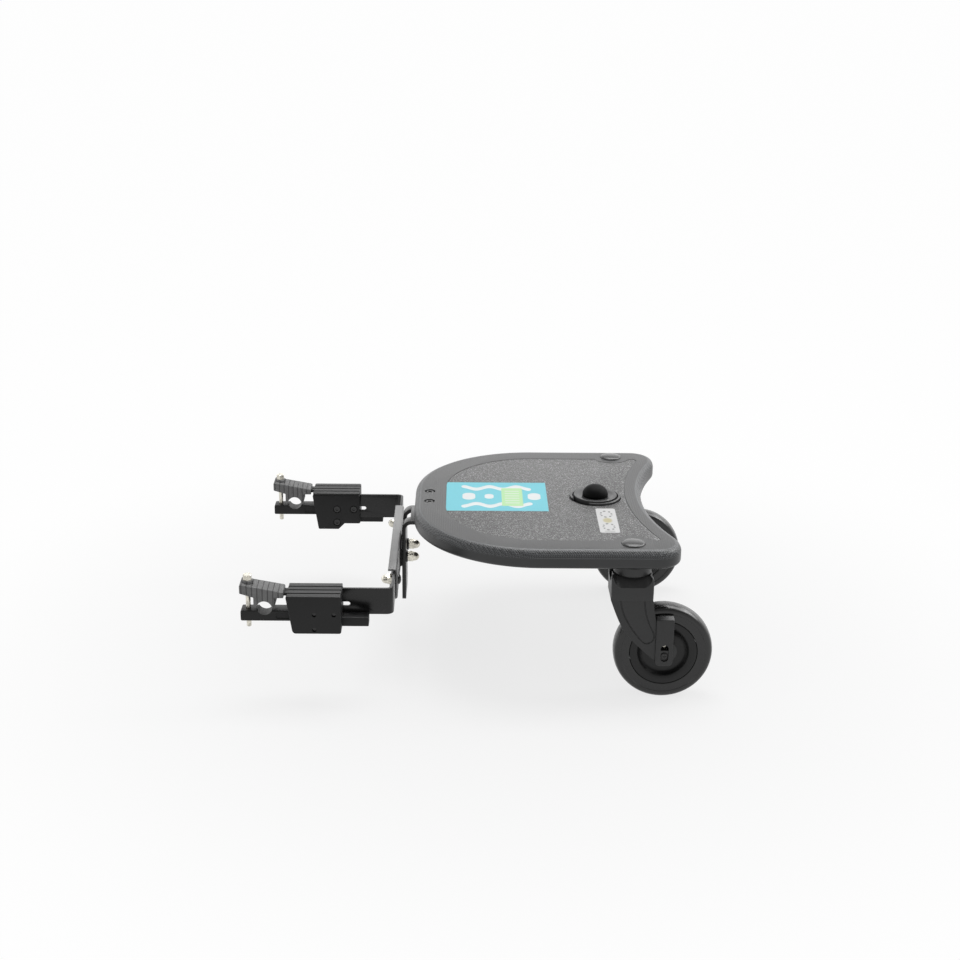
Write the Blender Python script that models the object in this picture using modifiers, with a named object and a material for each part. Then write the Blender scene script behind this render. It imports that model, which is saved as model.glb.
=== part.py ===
"""Ride-on board for a pram: a deck on two sprung casters, hung from a hitch that clamps the pram's rear axle.

Metres, +Z up. The origin is the midpoint of the clamped axle, +X points back towards the casters
and +Y to the far side. The far pieces are mirror images of the near ones, which are at negative Y.
"""

import math

import bmesh
import bpy
from mathutils import Matrix, Vector

MM = 0.001

# Clearances
GAP = 0.3 * MM
RUN = 0.3 * MM
EPS = 1.0 * MM

# Heights above the floor and distances along X
AXLE_HEIGHT = 128.5 * MM
DECK_TOP_HEIGHT = 204.8 * MM
CHANNEL_HEIGHT = 127.0 * MM
FLOOR = -AXLE_HEIGHT
CHANNEL_X = 161.0 * MM
DECK_FROM_BRACKET = 11.8 * MM

# Deck
DECK_LENGTH = 334.6 * MM
DECK_HALF_WIDTH = 193.5 * MM
DECK_THICKNESS = 24.4 * MM
DECK_EDGE = 6.0 * MM
DECK_FRONT_FLAT = 36.0 * MM
DECK_CORNER_LENGTH = 160.0 * MM
EAR_RADIUS = 32.0 * MM
EAR_BLEND = 22.0 * MM
REAR_ARC_RADIUS = 355.0 * MM
REAR_ARC_DEPTH = 32.0 * MM
DECK_SKIN = 4.0 * MM
DECK_WALL = 4.5 * MM
RIB = 2.6 * MM
RIB_PITCH_X = 54.0 * MM
RIB_PITCH_Y = 52.0 * MM

# Grip panel
PANEL_FRONT_RIM = 41.6 * MM
PANEL_SIDE_RIM = 36.5 * MM
PANEL_REAR_RIM = 22.5 * MM
PANEL_CORNER_LENGTH = 119.0 * MM
PANEL_REAR_ARC = 400.0 * MM
PANEL_REAR_CORNER = 6.0 * MM
PANEL_RECESS = 1.5 * MM
PANEL_THICKNESS = 1.0 * MM
PANEL_SCALLOP = 26.0 * MM

# Seat socket with its plug and knob
SOCKET_FROM_STEM = 34.7 * MM
RING_RADIUS = 33.4 * MM
RING_PROUD = 2.6 * MM
RING_FLANGE = 6.1 * MM
TUBE_RADIUS = 26.0 * MM
TUBE_WALL = 2.2 * MM
TUBE_DEPTH = 42.0 * MM
PLUG_RADIUS = 28.6 * MM
PLUG_SEAT = 1.5 * MM
PLUG_PROUD = 4.2 * MM
PLUG_DISH = 2.0 * MM
PLUG_LIP = 4.0 * MM
PLUG_GAP = 2.0 * MM
PLUG_SKIRT = 9.0 * MM
PLUG_SKIRT_WALL = 2.2 * MM
KNOB_RADIUS = 17.0 * MM
KNOB_HEIGHT = 15.0 * MM
KNOB_SHAFT = 5.0 * MM
LATCH_WIDTH = 8.0 * MM
LATCH_THICKNESS = 3.0 * MM
LATCH_ENDS = 1.4 * MM
LEDGE_THICKNESS = 3.0 * MM
LEDGE_REACH = 3.4 * MM
LEDGE_WIDTH = 14.0 * MM
NOTCH_START = 180.0
NOTCH_END = 252.0

# Bracket under the deck's front edge
BRACKET_HALF_WIDTH = 30.0 * MM
BRACKET_THICKNESS = 5.0 * MM
BRACKET_BEND = 12.0 * MM
BRACKET_FOOT = 60.5 * MM
BRACKET_TONGUE = 45.0 * MM
FOOT_CORNER = 6.0 * MM
WINDOW_HALF_WIDTH = 14.0 * MM
WINDOW_TALL = 14.0 * MM
FRONT_SCREW_X = 19.5 * MM
FRONT_SCREW_Y = 19.0 * MM
FRONT_SCREW_RADIUS = 3.0 * MM
FRONT_HEAD_RADIUS = 5.4 * MM
FRONT_RECESS_RADIUS = 6.8 * MM
FRONT_RECESS_DEPTH = 3.2 * MM
FRONT_HEAD_TALL = 2.4 * MM
FRONT_BLOCK = 15.0 * MM
NUT_M6 = 10.0 * MM
NUT_M6_TALL = 5.0 * MM

# Cross channel
CHANNEL_HALF_LENGTH = 117.0 * MM
CHANNEL_DEPTH = 12.0 * MM
CHANNEL_TALL = 41.0 * MM
CHANNEL_WALL = 2.5 * MM
CHANNEL_BEND = 3.0 * MM
SPACER_THICKNESS = 2.0 * MM
SPACER_HALF_LENGTH = 29.0 * MM
SPACER_HALF_TALL = 13.0 * MM
SPACER_CORNER = 4.0 * MM
RAISE = 45.0 * MM
LOWER = 20.0 * MM

# M8 bolts and their cap nuts
BOLT_RADIUS = 3.9 * MM
BOLT_HEAD_RADIUS = 6.5 * MM
BOLT_HEAD_TALL = 4.0 * MM
HEIGHT_BOLT_Y = 22.0 * MM
WIDTH_BOLT_FROM_END = 17.0 * MM
WASHER_RADIUS = 8.0 * MM
WASHER_THICKNESS = 2.0 * MM
NUT_M8 = 13.0 * MM
NUT_HEX_TALL = 7.0 * MM
NUT_TALL = 15.0 * MM
NUT_BORE_DEPTH = 9.0 * MM

# Arms
ARM_Y = 170.0 * MM
ARM_THICKNESS = 3.5 * MM
ARM_TALL = 35.0 * MM
ARM_BEND = 9.0 * MM
ARM_END_WALL = 4.5 * MM
ARM_PAST_BOLT = 12.0 * MM
NARROW = 40.0 * MM
WIDEN = 8.0 * MM

# Connectors
PLATE_THICKNESS = 5.0 * MM
SHELL_WIDTH = 35.0 * MM
SHELL_FRONT = 27.0 * MM
SHELL_REAR = 95.0 * MM
SHELL_TOP = 147.8 * MM
SHELL_BOTTOM = 98.1 * MM
SHELL_SLANT = 8.0 * MM
SHELL_CORNER = 5.0 * MM
TOE_REAR = 128.0 * MM
TOE_TALL = 12.0 * MM
TOE_WIDTH = 18.0 * MM
TOE_BOTTOM = 101.0 * MM
ROOF_GROOVES = 3
ROOF_GROOVE_WIDTH = 3.2 * MM
ROOF_GROOVE_DEPTH = 1.4 * MM
PLATE_BOTTOM = 93.0 * MM
PLATE_STEP_X = 37.0 * MM
PLATE_STEP_TALL = 10.0 * MM
HEX_SCREW_X = 62.0 * MM
HEX_SCREW_PITCH = 24.3 * MM
HEX_SCREW_HEIGHT = 123.5 * MM
HEX_SCREW_DROP = 20.0 * MM
HEX_SCREW_RADIUS = 2.5 * MM
HEX_HEAD_RADIUS = 4.8 * MM
HEX_HEAD_TALL = 2.4 * MM
HEX_RECESS_RADIUS = 5.6 * MM
REACH_OUT = 18.0 * MM
REACH_IN = 15.0 * MM

# Clamp on the axle
AXLE_RADIUS = 9.5 * MM
CLAMP_BORE = AXLE_RADIUS + GAP
CLAMP_INNER_Y = 172.4 * MM
CLAMP_OUTER_Y = 200.0 * MM
SADDLE_REAR = 24.0 * MM
SADDLE_FRONT = 30.0 * MM
SADDLE_FRONT_BOTTOM = 19.7 * MM
SADDLE_FRONT_TALL = 11.8 * MM
SADDLE_REAR_BOTTOM = 14.0 * MM
SADDLE_REAR_TALL = 7.5 * MM
SADDLE_LOBE = 1.5 * MM
LOBE_HALF_LENGTH = 13.0 * MM
SADDLE_BOSS_RADIUS = 7.5 * MM
SADDLE_BOSS_TOP = 33.0 * MM
TONGUE_BOTTOM = 15.4 * MM
TONGUE_TALL = 3.6 * MM
TONGUE_RISE = 5.0 * MM
TONGUE_HALF_WIDTH = 8.0 * MM
TONGUE_END = 4.0 * MM
JAW_TOP = -4.5 * MM
JAW_TALL = 13.5 * MM
JAW_REAR = 43.0 * MM
JAW_HALF_WIDTH = 10.0 * MM
JAW_DROP = 8.0 * MM
CLAMP_BOLT_X = 21.0 * MM
CLAMP_BOLT_RADIUS = 3.0 * MM
CLAMP_BOLT_HEAD = 7.0 * MM
CLAMP_BOLT_TAIL = 11.0 * MM

# Casters
STEM_FROM_SIDE = 27.0 * MM
STEM_FROM_TIP = 60.0 * MM
STEM_RADIUS = 6.0 * MM
STEM_BOSS = 13.0 * MM
STEM_SEAT = 20.0 * MM
CAP_RADIUS = 15.0 * MM
CAP_HEIGHT = 3.4 * MM
CAP_RECESS = 1.2 * MM
CAP_STUB = 4.0 * MM
COLLAR_RADIUS = 24.0 * MM
COLLAR_TAPER = 0.8 * MM
COLLAR_TALL = 12.0 * MM
TRAIL = 42.0 * MM
WHEEL_CLEARANCE = 10.4 * MM
WHEEL_WIDTH = 27.5 * MM
TYRE_DEPTH = 19.7 * MM
TYRE_SHOULDER = 7.0 * MM
TYRE_CROWN = 0.6 * MM
RIM_FACE = 10.0 * MM
RIM_LIP = 1.0 * MM
RECESS_DEPTH = 7.5 * MM
HUB_RADIUS = 12.0 * MM
CROWN_FRONT = 27.3 * MM
CROWN_REAR = 25.3 * MM
CROWN_TALL = 32.4 * MM
CROWN_TOP_HALF = 14.0 * MM
CROWN_SHOULDER = 12.3 * MM
CROWN_TAPER = 13.0 * MM
LOBE_RISE = 2.2 * MM
LOBE_FRONT_CORNER = 2.5 * MM
LOBE_REAR_CORNER = 7.0 * MM
SCOOP_EDGE = 2.0 * MM
SCOOP_CORNER = 11.0 * MM
DIP_HALF_WIDTH = 15.0 * MM
DIP_DEPTH = 8.3 * MM
DIP_CORNER = 5.0 * MM
LEG_CLEARANCE = 1.75 * MM
LEG_THICKNESS = 6.5 * MM
GUIDE_PROUD = 2.5 * MM
GUIDE_FRONT = 11.6 * MM
GUIDE_REAR = 10.7 * MM
GUIDE_BELOW_CROWN = 20.1 * MM
GUIDE_BELOW_AXLE = 13.2 * MM
GUIDE_CORNER = 6.0 * MM
GUIDE_SLANT = 3.4 * MM
BOSS_RADIUS = 15.5 * MM
BOSS_ABOVE_AXLE = 5.5 * MM
SLOT_TRAVEL = 8.5 * MM
SLOT_SPARE = 2.0 * MM
SLOT_SIDE = 0.9 * MM
POCKET_HALF_WIDTH = 5.3 * MM
POCKET_ROOF = 10.5 * MM
AXLE_SHAFT = 4.0 * MM
SLIDER_BELOW = 6.0 * MM
SLIDER_ABOVE = 7.0 * MM
SCREW_HEAD = 4.1 * MM
SCREW_HEAD_TALL = 1.8 * MM
SCREW_SHANK = 2.0 * MM
SCREW_SHANK_LENGTH = 7.0 * MM
SPRING_RADIUS = 2.6 * MM
SPRING_WIRE = 0.55 * MM
SPRING_CURLS = 5
CURL_POINTS = 8

ROUND = 28
FINE = 40
SMALL = 14

# Places worked out from the sizes above
DECK_TOP = DECK_TOP_HEIGHT + FLOOR
DECK_BOTTOM = DECK_TOP - DECK_THICKNESS
LEG_FRONT_X = CHANNEL_X + GAP + SPACER_THICKNESS + GAP
LEG_REAR_X = LEG_FRONT_X + BRACKET_THICKNESS
DECK_FRONT = LEG_REAR_X + DECK_FROM_BRACKET
EAR_X = DECK_FRONT + DECK_LENGTH
REAR_ARC_X = EAR_X - REAR_ARC_DEPTH
STEM_X = EAR_X - STEM_FROM_TIP
STEM_Y = DECK_HALF_WIDTH - STEM_FROM_SIDE
SOCKET_X = STEM_X - SOCKET_FROM_STEM
CHANNEL_Z = CHANNEL_HEIGHT + FLOOR
WEB_INNER_X = CHANNEL_X - CHANNEL_WALL
ARM_FACE_X = WEB_INNER_X - GAP
WIDTH_BOLT_Y = CHANNEL_HALF_LENGTH - WIDTH_BOLT_FROM_END
ARM_FOOT_Y = WIDTH_BOLT_Y - ARM_PAST_BOLT
BRACKET_TOP = DECK_BOTTOM - GAP
SHELL_INNER = ARM_Y + ARM_THICKNESS / 2 + GAP
SHELL_OUTER = SHELL_INNER + SHELL_WIDTH
PLATE_OUTER = ARM_Y - ARM_THICKNESS / 2 - GAP
PLATE_INNER = PLATE_OUTER - PLATE_THICKNESS
SHELL_TOP_Z = SHELL_TOP + FLOOR
SHELL_BOTTOM_Z = SHELL_BOTTOM + FLOOR
ARM_TOP_Z = CHANNEL_Z + ARM_TALL / 2
HEX_SCREW_Z = HEX_SCREW_HEIGHT + FLOOR
CLAMP_MID_Y = (CLAMP_INNER_Y + CLAMP_OUTER_Y) / 2
COLLAR_BOTTOM = DECK_BOTTOM - GAP - COLLAR_TALL
CROWN_TOP = COLLAR_BOTTOM - GAP
CROWN_BOTTOM = CROWN_TOP - CROWN_TALL
LOBE_TOP = CROWN_TOP + LOBE_RISE
WHEEL_RADIUS = (CROWN_BOTTOM - WHEEL_CLEARANCE - FLOOR) / 2
RIM_RADIUS = WHEEL_RADIUS - TYRE_DEPTH
RECESS_RADIUS = RIM_RADIUS - RIM_FACE
WHEEL_Z = FLOOR + WHEEL_RADIUS
WHEEL_X = STEM_X + TRAIL
LEG_DROP = CROWN_BOTTOM - WHEEL_Z
LEG_INNER = WHEEL_WIDTH / 2 + LEG_CLEARANCE
LEG_OUTER = LEG_INNER + LEG_THICKNESS
GUIDE_OUTER = LEG_OUTER + GUIDE_PROUD
CROWN_HALF_WIDTH = GUIDE_OUTER
GUIDE_TOP = CROWN_BOTTOM - GUIDE_BELOW_CROWN
POCKET_TOP = GUIDE_TOP - POCKET_ROOF
POCKET_OUTER = LEG_OUTER + EPS / 2
LEDGE_TOP = DECK_TOP - PLUG_SEAT - PLUG_SKIRT - EPS
LATCH_TOP = LEDGE_TOP - LEDGE_THICKNESS - 2 * GAP
KNOB_BASE = DECK_TOP + PLUG_PROUD - PLUG_DISH + GAP
ARM_TIP = HEX_SCREW_X - REACH_OUT - HEX_SCREW_RADIUS - ARM_END_WALL

LOOKS = {
    "deck": ((0.085, 0.085, 0.09), 0.6, 0.0),
    "grip": ((0.13, 0.13, 0.135), 0.85, 0.0),
    "black": ((0.012, 0.012, 0.013), 0.5, 0.0),
    "steel": ((0.02, 0.02, 0.022), 0.45, 0.6),
    "zinc": ((0.72, 0.71, 0.66), 0.25, 1.0),
    "rubber": ((0.05, 0.05, 0.055), 0.8, 0.0),
    "tyre": ((0.02, 0.02, 0.02), 0.55, 0.0),
    "rim": ((0.02, 0.02, 0.021), 0.35, 0.0),
}


def clear_scene():
    """Removes the objects that the scene starts with."""
    for obj in list(bpy.data.objects):
        bpy.data.objects.remove(obj, do_unlink=True)


def new_collection(name, hidden=False):
    """Adds a collection to the scene."""
    made = bpy.data.collections.new(name)
    made.hide_render = hidden
    bpy.context.scene.collection.children.link(made)
    return made


def look(name):
    """The Principled material of this name, made on its first use."""
    found = bpy.data.materials.get(name)
    if found:
        return found
    color, roughness, metallic = LOOKS[name]
    made = bpy.data.materials.new(name)
    made.use_nodes = True
    shader = made.node_tree.nodes["Principled BSDF"]
    shader.inputs["Base Color"].default_value = (*color, 1.0)
    shader.inputs["Roughness"].default_value = roughness
    shader.inputs["Metallic"].default_value = metallic
    made.diffuse_color = (*color, 1.0)
    return made


def baked(obj):
    """The object's evaluated mesh in world space; the object is removed."""
    bpy.context.view_layer.update()
    graph = bpy.context.evaluated_depsgraph_get()
    mesh = bpy.data.meshes.new_from_object(obj.evaluated_get(graph), depsgraph=graph)
    mesh.transform(obj.matrix_world)
    bpy.data.objects.remove(obj, do_unlink=True)
    return mesh


def from_bmesh(name, bm):
    """A mesh made from a bmesh, with its faces pointing out."""
    bmesh.ops.recalc_face_normals(bm, faces=bm.faces)
    mesh = bpy.data.meshes.new(name)
    bm.to_mesh(mesh)
    bm.free()
    return mesh


def box(name, low, high):
    """A box between two opposite corners."""
    bm = bmesh.new()
    size = [b - a for a, b in zip(low, high)]
    centre = [(a + b) / 2 for a, b in zip(low, high)]
    matrix = Matrix.Translation(centre) @ Matrix.Diagonal((*size, 1.0))
    bmesh.ops.create_cube(bm, size=1.0, matrix=matrix)
    return from_bmesh(name, bm)


def rod(name, start, end, radius, sides=ROUND):
    """A round rod, or a prism when it has few sides, between two points."""
    start, end = Vector(start), Vector(end)
    turn = (end - start).to_track_quat("Z", "Y").to_matrix().to_4x4()
    matrix = Matrix.Translation((start + end) / 2) @ turn
    bm = bmesh.new()
    bmesh.ops.create_cone(
        bm,
        cap_ends=True,
        segments=sides,
        radius1=radius,
        radius2=radius,
        depth=(end - start).length,
        matrix=matrix,
    )
    return from_bmesh(name, bm)


def plane(axis, level):
    """Places a drawing: X and Y of the drawing become the two axes after the one that it faces."""
    turns = {
        "X": Matrix(((0, 0, 1), (1, 0, 0), (0, 1, 0))),
        "Y": Matrix(((1, 0, 0), (0, 0, -1), (0, 1, 0))),
        "Z": Matrix.Identity(3),
    }
    shift = {"X": (level, 0, 0), "Y": (0, level, 0), "Z": (0, 0, level)}
    return Matrix.Translation(shift[axis]) @ turns[axis].to_4x4()


def slab(name, outline, axis, low, high, holes=()):
    """A flat outline extruded along an axis, from one level to another.

    The outline is drawn in (Y, Z) for X, in (X, Z) for Y and in (X, Y) for Z.
    """
    curve = bpy.data.curves.new(name, "CURVE")
    curve.dimensions = "2D"
    curve.fill_mode = "BOTH"
    curve.extrude = (high - low) / 2
    for points in (outline, *holes):
        spline = curve.splines.new("POLY")
        spline.points.add(len(points) - 1)
        for point, (a, b) in zip(spline.points, points):
            point.co = (a, b, 0.0, 1.0)
        spline.use_cyclic_u = True
    obj = bpy.data.objects.new(name, curve)
    bpy.context.scene.collection.objects.link(obj)
    obj.matrix_world = plane(axis, (low + high) / 2)
    mesh = baked(obj)
    bm = bmesh.new()
    bm.from_mesh(mesh)
    bmesh.ops.remove_doubles(bm, verts=bm.verts, dist=1e-6)
    bmesh.ops.dissolve_limit(bm, angle_limit=math.radians(0.2), verts=bm.verts, edges=bm.edges)
    return from_bmesh(name, bm)


def turned(name, profile, axis="Z", centre=(0, 0, 0), steps=ROUND, closed=False):
    """A profile of (radius, height) turned about an axis; it runs down its outer side."""
    mesh = bpy.data.meshes.new(name)
    points = [(r, 0.0, h) for r, h in profile]
    edges = [(i, i + 1) for i in range(len(points) - 1)]
    if closed:
        edges.append((len(points) - 1, 0))
    mesh.from_pydata(points, edges, [])
    obj = bpy.data.objects.new(name, mesh)
    bpy.context.scene.collection.objects.link(obj)
    screw = obj.modifiers.new("turn", "SCREW")
    screw.steps = steps
    screw.render_steps = steps
    screw.use_merge_vertices = True
    screw.merge_threshold = 0.00001
    turns = {
        "Z": Matrix.Identity(4),
        "Y": Matrix.Rotation(math.radians(-90), 4, "X"),
        "-Y": Matrix.Rotation(math.radians(90), 4, "X"),
        "X": Matrix.Rotation(math.radians(90), 4, "Y"),
        "-X": Matrix.Rotation(math.radians(-90), 4, "Y"),
    }
    obj.matrix_world = Matrix.Translation(centre) @ turns[axis]
    bm = bmesh.new()
    bm.from_mesh(baked(obj))
    bmesh.ops.remove_doubles(bm, verts=bm.verts, dist=1e-6)
    return from_bmesh(name, bm)


def piece(name, mesh, look_name, origin=(0, 0, 0)):
    """Adds a sub-part, with its own origin at a given point."""
    mesh.name = name
    mesh.transform(Matrix.Translation(-Vector(origin)))
    mesh.materials.clear()
    mesh.materials.append(look(look_name))
    mesh.shade_smooth()
    mesh.set_sharp_from_angle(angle=math.radians(35))
    obj = bpy.data.objects.new(name, mesh)
    obj.location = origin
    PARTS.objects.link(obj)
    return obj


def helper(name, mesh):
    """Adds a cutter or a piece to be joined, which isn't part of the object."""
    obj = bpy.data.objects.new(name, mesh)
    obj.display_type = "WIRE"
    obj.hide_render = True
    CUTTERS.objects.link(obj)
    return obj


def combine(obj, operation, *meshes):
    """Cuts meshes from an object, or joins them to it."""
    for mesh in meshes:
        modifier = obj.modifiers.new(operation.lower(), "BOOLEAN")
        modifier.operation = operation
        modifier.solver = "EXACT"
        modifier.object = helper(f"{obj.name}_{mesh.name}", mesh)


def cut(obj, *meshes):
    combine(obj, "DIFFERENCE", *meshes)


def join(obj, *meshes):
    combine(obj, "UNION", *meshes)


def round_edges(obj, width, segments=2, angle=50):
    """Rounds the edges that are sharper than an angle."""
    bevel = obj.modifiers.new("round", "BEVEL")
    bevel.width = width
    bevel.segments = segments
    bevel.limit_method = "ANGLE"
    bevel.angle_limit = math.radians(angle)
    bevel.use_clamp_overlap = True


def far_side(near, name):
    """The mirror image of a near piece, across the middle plane."""
    origin = near.matrix_world.translation.copy()
    bpy.context.view_layer.update()
    graph = bpy.context.evaluated_depsgraph_get()
    mesh = bpy.data.meshes.new_from_object(near.evaluated_get(graph), depsgraph=graph)
    mesh.transform(near.matrix_world)
    mesh.transform(Matrix.Diagonal((1, -1, 1, 1)))
    mesh.flip_normals()
    return piece(name, mesh, near.data.materials[0].name, (origin.x, -origin.y, origin.z))


def arc(centre, radius, start, end, count, squash=1.0):
    """Points along an arc, by angles in degrees; squash scales its second axis."""
    points = []
    for i in range(count + 1):
        angle = math.radians(start + (end - start) * i / count)
        points.append((centre[0] + radius * math.cos(angle), centre[1] + radius * squash * math.sin(angle)))
    return points


def rounded(corners, radius, count=4):
    """A polygon whose corners are rounded; each corner may have a radius of its own."""
    points = []
    for i, corner in enumerate(corners):
        here = Vector(corner[:2])
        before = Vector(corners[i - 1][:2])
        after = Vector(corners[(i + 1) % len(corners)][:2])
        size = corner[2] if len(corner) > 2 else radius
        if size <= 0:
            points.append(tuple(here))
            continue
        a, b = (before - here).normalized(), (after - here).normalized()
        half = a.angle(b) / 2
        reach = size / math.tan(half)
        middle = here + (a + b).normalized() * (size / math.sin(half))
        start, end = here + a * reach, here + b * reach
        first = math.atan2(start.y - middle.y, start.x - middle.x)
        last = math.atan2(end.y - middle.y, end.x - middle.x)
        sweep = (last - first + math.pi) % (2 * math.pi) - math.pi
        for k in range(count + 1):
            angle = first + sweep * k / count
            points.append((middle.x + size * math.cos(angle), middle.y + size * math.sin(angle)))
    return points


def stadium(a, b, radius, count=8):
    """A slot's outline: two half circles about two points."""
    a, b = Vector(a), Vector(b)
    heading = math.degrees(math.atan2(b.y - a.y, b.x - a.x))
    last = arc(b, radius, heading - 90, heading + 90, count)
    return last + arc(a, radius, heading + 90, heading + 270, count)


def mirrored(half):
    """Closes a half outline by its mirror image across the X axis."""
    back = [(x, -y) for x, y in reversed(half) if y > 1e-6]
    return half + back


def corner_front(front, flat, length, half_width, count=12):
    """The front edge and the rounded front corner, from the middle plane to the side."""
    points = [(front, 0.0), (front, flat)]
    turn = arc((front + length, flat), length, 180, 90, count, (half_width - flat) / length)
    return points + turn[1:]


def deck_outline(inset=0.0):
    """The deck seen from above, drawn in by an inset."""
    front = DECK_FRONT + inset
    half = DECK_HALF_WIDTH - inset
    tip = EAR_X - inset
    points = corner_front(front, DECK_FRONT_FLAT, DECK_CORNER_LENGTH - inset, half)
    radius = EAR_RADIUS - inset
    points += arc((tip - radius, half - radius), radius, 90, 0, 6)
    middle = REAR_ARC_X + REAR_ARC_RADIUS
    bow = REAR_ARC_RADIUS + inset
    turn = math.sqrt(bow**2 - (middle - tip) ** 2)
    below = Vector((tip, turn + EAR_BLEND / 2))
    corner = Vector((tip, turn))
    after_y = turn - EAR_BLEND / 2
    after = Vector((middle - math.sqrt(bow**2 - after_y**2), after_y))
    for k in range(4):
        t = k / 3
        blend = below * (1 - t) ** 2 + corner * 2 * t * (1 - t) + after * t**2
        points.append(tuple(blend))
    count = 9
    start = math.asin(after_y / bow)
    for k in range(1, count + 1):
        angle = start * (1 - k / count)
        points.append((middle - bow * math.cos(angle), bow * math.sin(angle)))
    return mirrored(points)


def panel_outline(inset=0.0):
    """The grip panel seen from above, drawn in by an inset."""
    front = DECK_FRONT + PANEL_FRONT_RIM + inset
    half = DECK_HALF_WIDTH - PANEL_SIDE_RIM - inset
    points = corner_front(front, DECK_FRONT_FLAT, PANEL_CORNER_LENGTH - inset, half)
    middle = REAR_ARC_X - PANEL_REAR_RIM + PANEL_REAR_ARC
    bow = PANEL_REAR_ARC + inset
    start = math.asin(half / bow)
    corner = Vector((middle - bow * math.cos(start), half))
    points.append((corner.x - PANEL_REAR_CORNER, half))
    count = 9
    begin = math.asin((half - PANEL_REAR_CORNER) / bow)
    for k in range(count + 1):
        angle = begin * (1 - k / count)
        points.append((middle - bow * math.cos(angle), bow * math.sin(angle)))
    return mirrored(points)


def rib_boxes(axis):
    """Parallel ribs across the deck's underside, as one mesh of separate boxes."""
    bm = bmesh.new()
    low, high = DECK_BOTTOM - 2 * EPS, DECK_TOP
    if axis == "X":
        count = math.ceil((STEM_X - DECK_FRONT) / RIB_PITCH_X)
        places = [STEM_X - i * RIB_PITCH_X for i in range(count)]
    else:
        count = math.floor(DECK_HALF_WIDTH / RIB_PITCH_Y)
        places = [i * RIB_PITCH_Y for i in range(-count, count + 1)]
    for place in places:
        if axis == "X":
            size = (RIB, 3 * DECK_HALF_WIDTH, high - low)
            centre = (place, 0.0, (low + high) / 2)
        else:
            size = (2 * DECK_LENGTH, RIB, high - low)
            centre = ((DECK_FRONT + EAR_X) / 2, place, (low + high) / 2)
        matrix = Matrix.Translation(centre) @ Matrix.Diagonal((*size, 1.0))
        bmesh.ops.create_cube(bm, size=1.0, matrix=matrix)
    return from_bmesh(f"ribs_{axis.lower()}", bm)


def build_platform():
    """The deck: a ribbed shell with a recess for the grip panel."""
    deck = piece("platform", slab("deck", deck_outline(), "Z", DECK_BOTTOM, DECK_TOP), "deck")
    round_edges(deck, DECK_EDGE, segments=3, angle=60)
    hollow_top = DECK_TOP - DECK_SKIN
    hollow = slab("hollow", deck_outline(DECK_WALL + DECK_EDGE / 3), "Z", DECK_BOTTOM - EPS, hollow_top)
    low, high = DECK_BOTTOM - 2 * EPS, DECK_TOP
    cut(deck, hollow)
    cells = deck.modifiers[-1].object
    cut(cells, rib_boxes("X"), rib_boxes("Y"))
    block_x = DECK_FRONT + FRONT_SCREW_X
    front_block = box(
        "front_block",
        (DECK_FRONT - EPS, -BRACKET_HALF_WIDTH, low),
        (block_x + FRONT_BLOCK, BRACKET_HALF_WIDTH, high),
    )
    cut(cells, front_block, rod("socket_boss", (SOCKET_X, 0, low), (SOCKET_X, 0, high), RING_RADIUS + RIB))
    for side in (-1, 1):
        place = (STEM_X, side * STEM_Y)
        cut(cells, rod(f"stem_boss_{side}", (*place, low), (*place, high), STEM_BOSS, SMALL))
    cut(deck, slab("panel_recess", panel_outline(-GAP), "Z", DECK_TOP - PANEL_RECESS, DECK_TOP + EPS))
    flange_bottom = DECK_TOP + RING_PROUD - RING_FLANGE - GAP
    cut(
        deck,
        turned(
            "socket_hole",
            [
                (0, DECK_TOP + EPS),
                (RING_RADIUS + GAP, DECK_TOP + EPS),
                (RING_RADIUS + GAP, flange_bottom),
                (TUBE_RADIUS + GAP, flange_bottom),
                (TUBE_RADIUS + GAP, low),
                (0, low),
            ],
            centre=(SOCKET_X, 0, 0),
        ),
    )
    for side in (-1, 1):
        cut(
            deck,
            turned(
                f"stem_hole_{side}",
                [
                    (0, DECK_TOP + EPS),
                    (CAP_RADIUS + GAP, DECK_TOP + EPS),
                    (CAP_RADIUS + GAP, DECK_TOP - CAP_RECESS),
                    (STEM_RADIUS + RUN, DECK_TOP - CAP_RECESS),
                    (STEM_RADIUS + RUN, low),
                    (0, low),
                ],
                centre=(STEM_X, side * STEM_Y, 0),
            ),
            turned(
                f"screw_hole_{side}",
                [
                    (0, DECK_TOP + EPS),
                    (FRONT_RECESS_RADIUS, DECK_TOP + EPS),
                    (FRONT_RECESS_RADIUS, DECK_TOP - FRONT_RECESS_DEPTH),
                    (FRONT_SCREW_RADIUS + GAP, DECK_TOP - FRONT_RECESS_DEPTH),
                    (FRONT_SCREW_RADIUS + GAP, low),
                    (0, low),
                ],
                centre=(block_x, side * FRONT_SCREW_Y, 0),
                steps=SMALL,
            ),
        )


def build_grip_panel():
    """The grip panel, cut round the socket ring and the two caps."""
    low = DECK_TOP - PANEL_RECESS + GAP
    high = low + PANEL_THICKNESS
    panel = piece("grip_panel", slab("panel", panel_outline(), "Z", low, high), "grip")
    below, above = low - EPS, high + EPS
    hole = RING_RADIUS + 2 * GAP
    cut(panel, rod("ring_hole", (SOCKET_X, 0, below), (SOCKET_X, 0, above), hole))
    for side in (-1, 1):
        place = (STEM_X, side * STEM_Y)
        cut(panel, rod(f"scallop_{side}", (*place, below), (*place, above), PANEL_SCALLOP))


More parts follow.
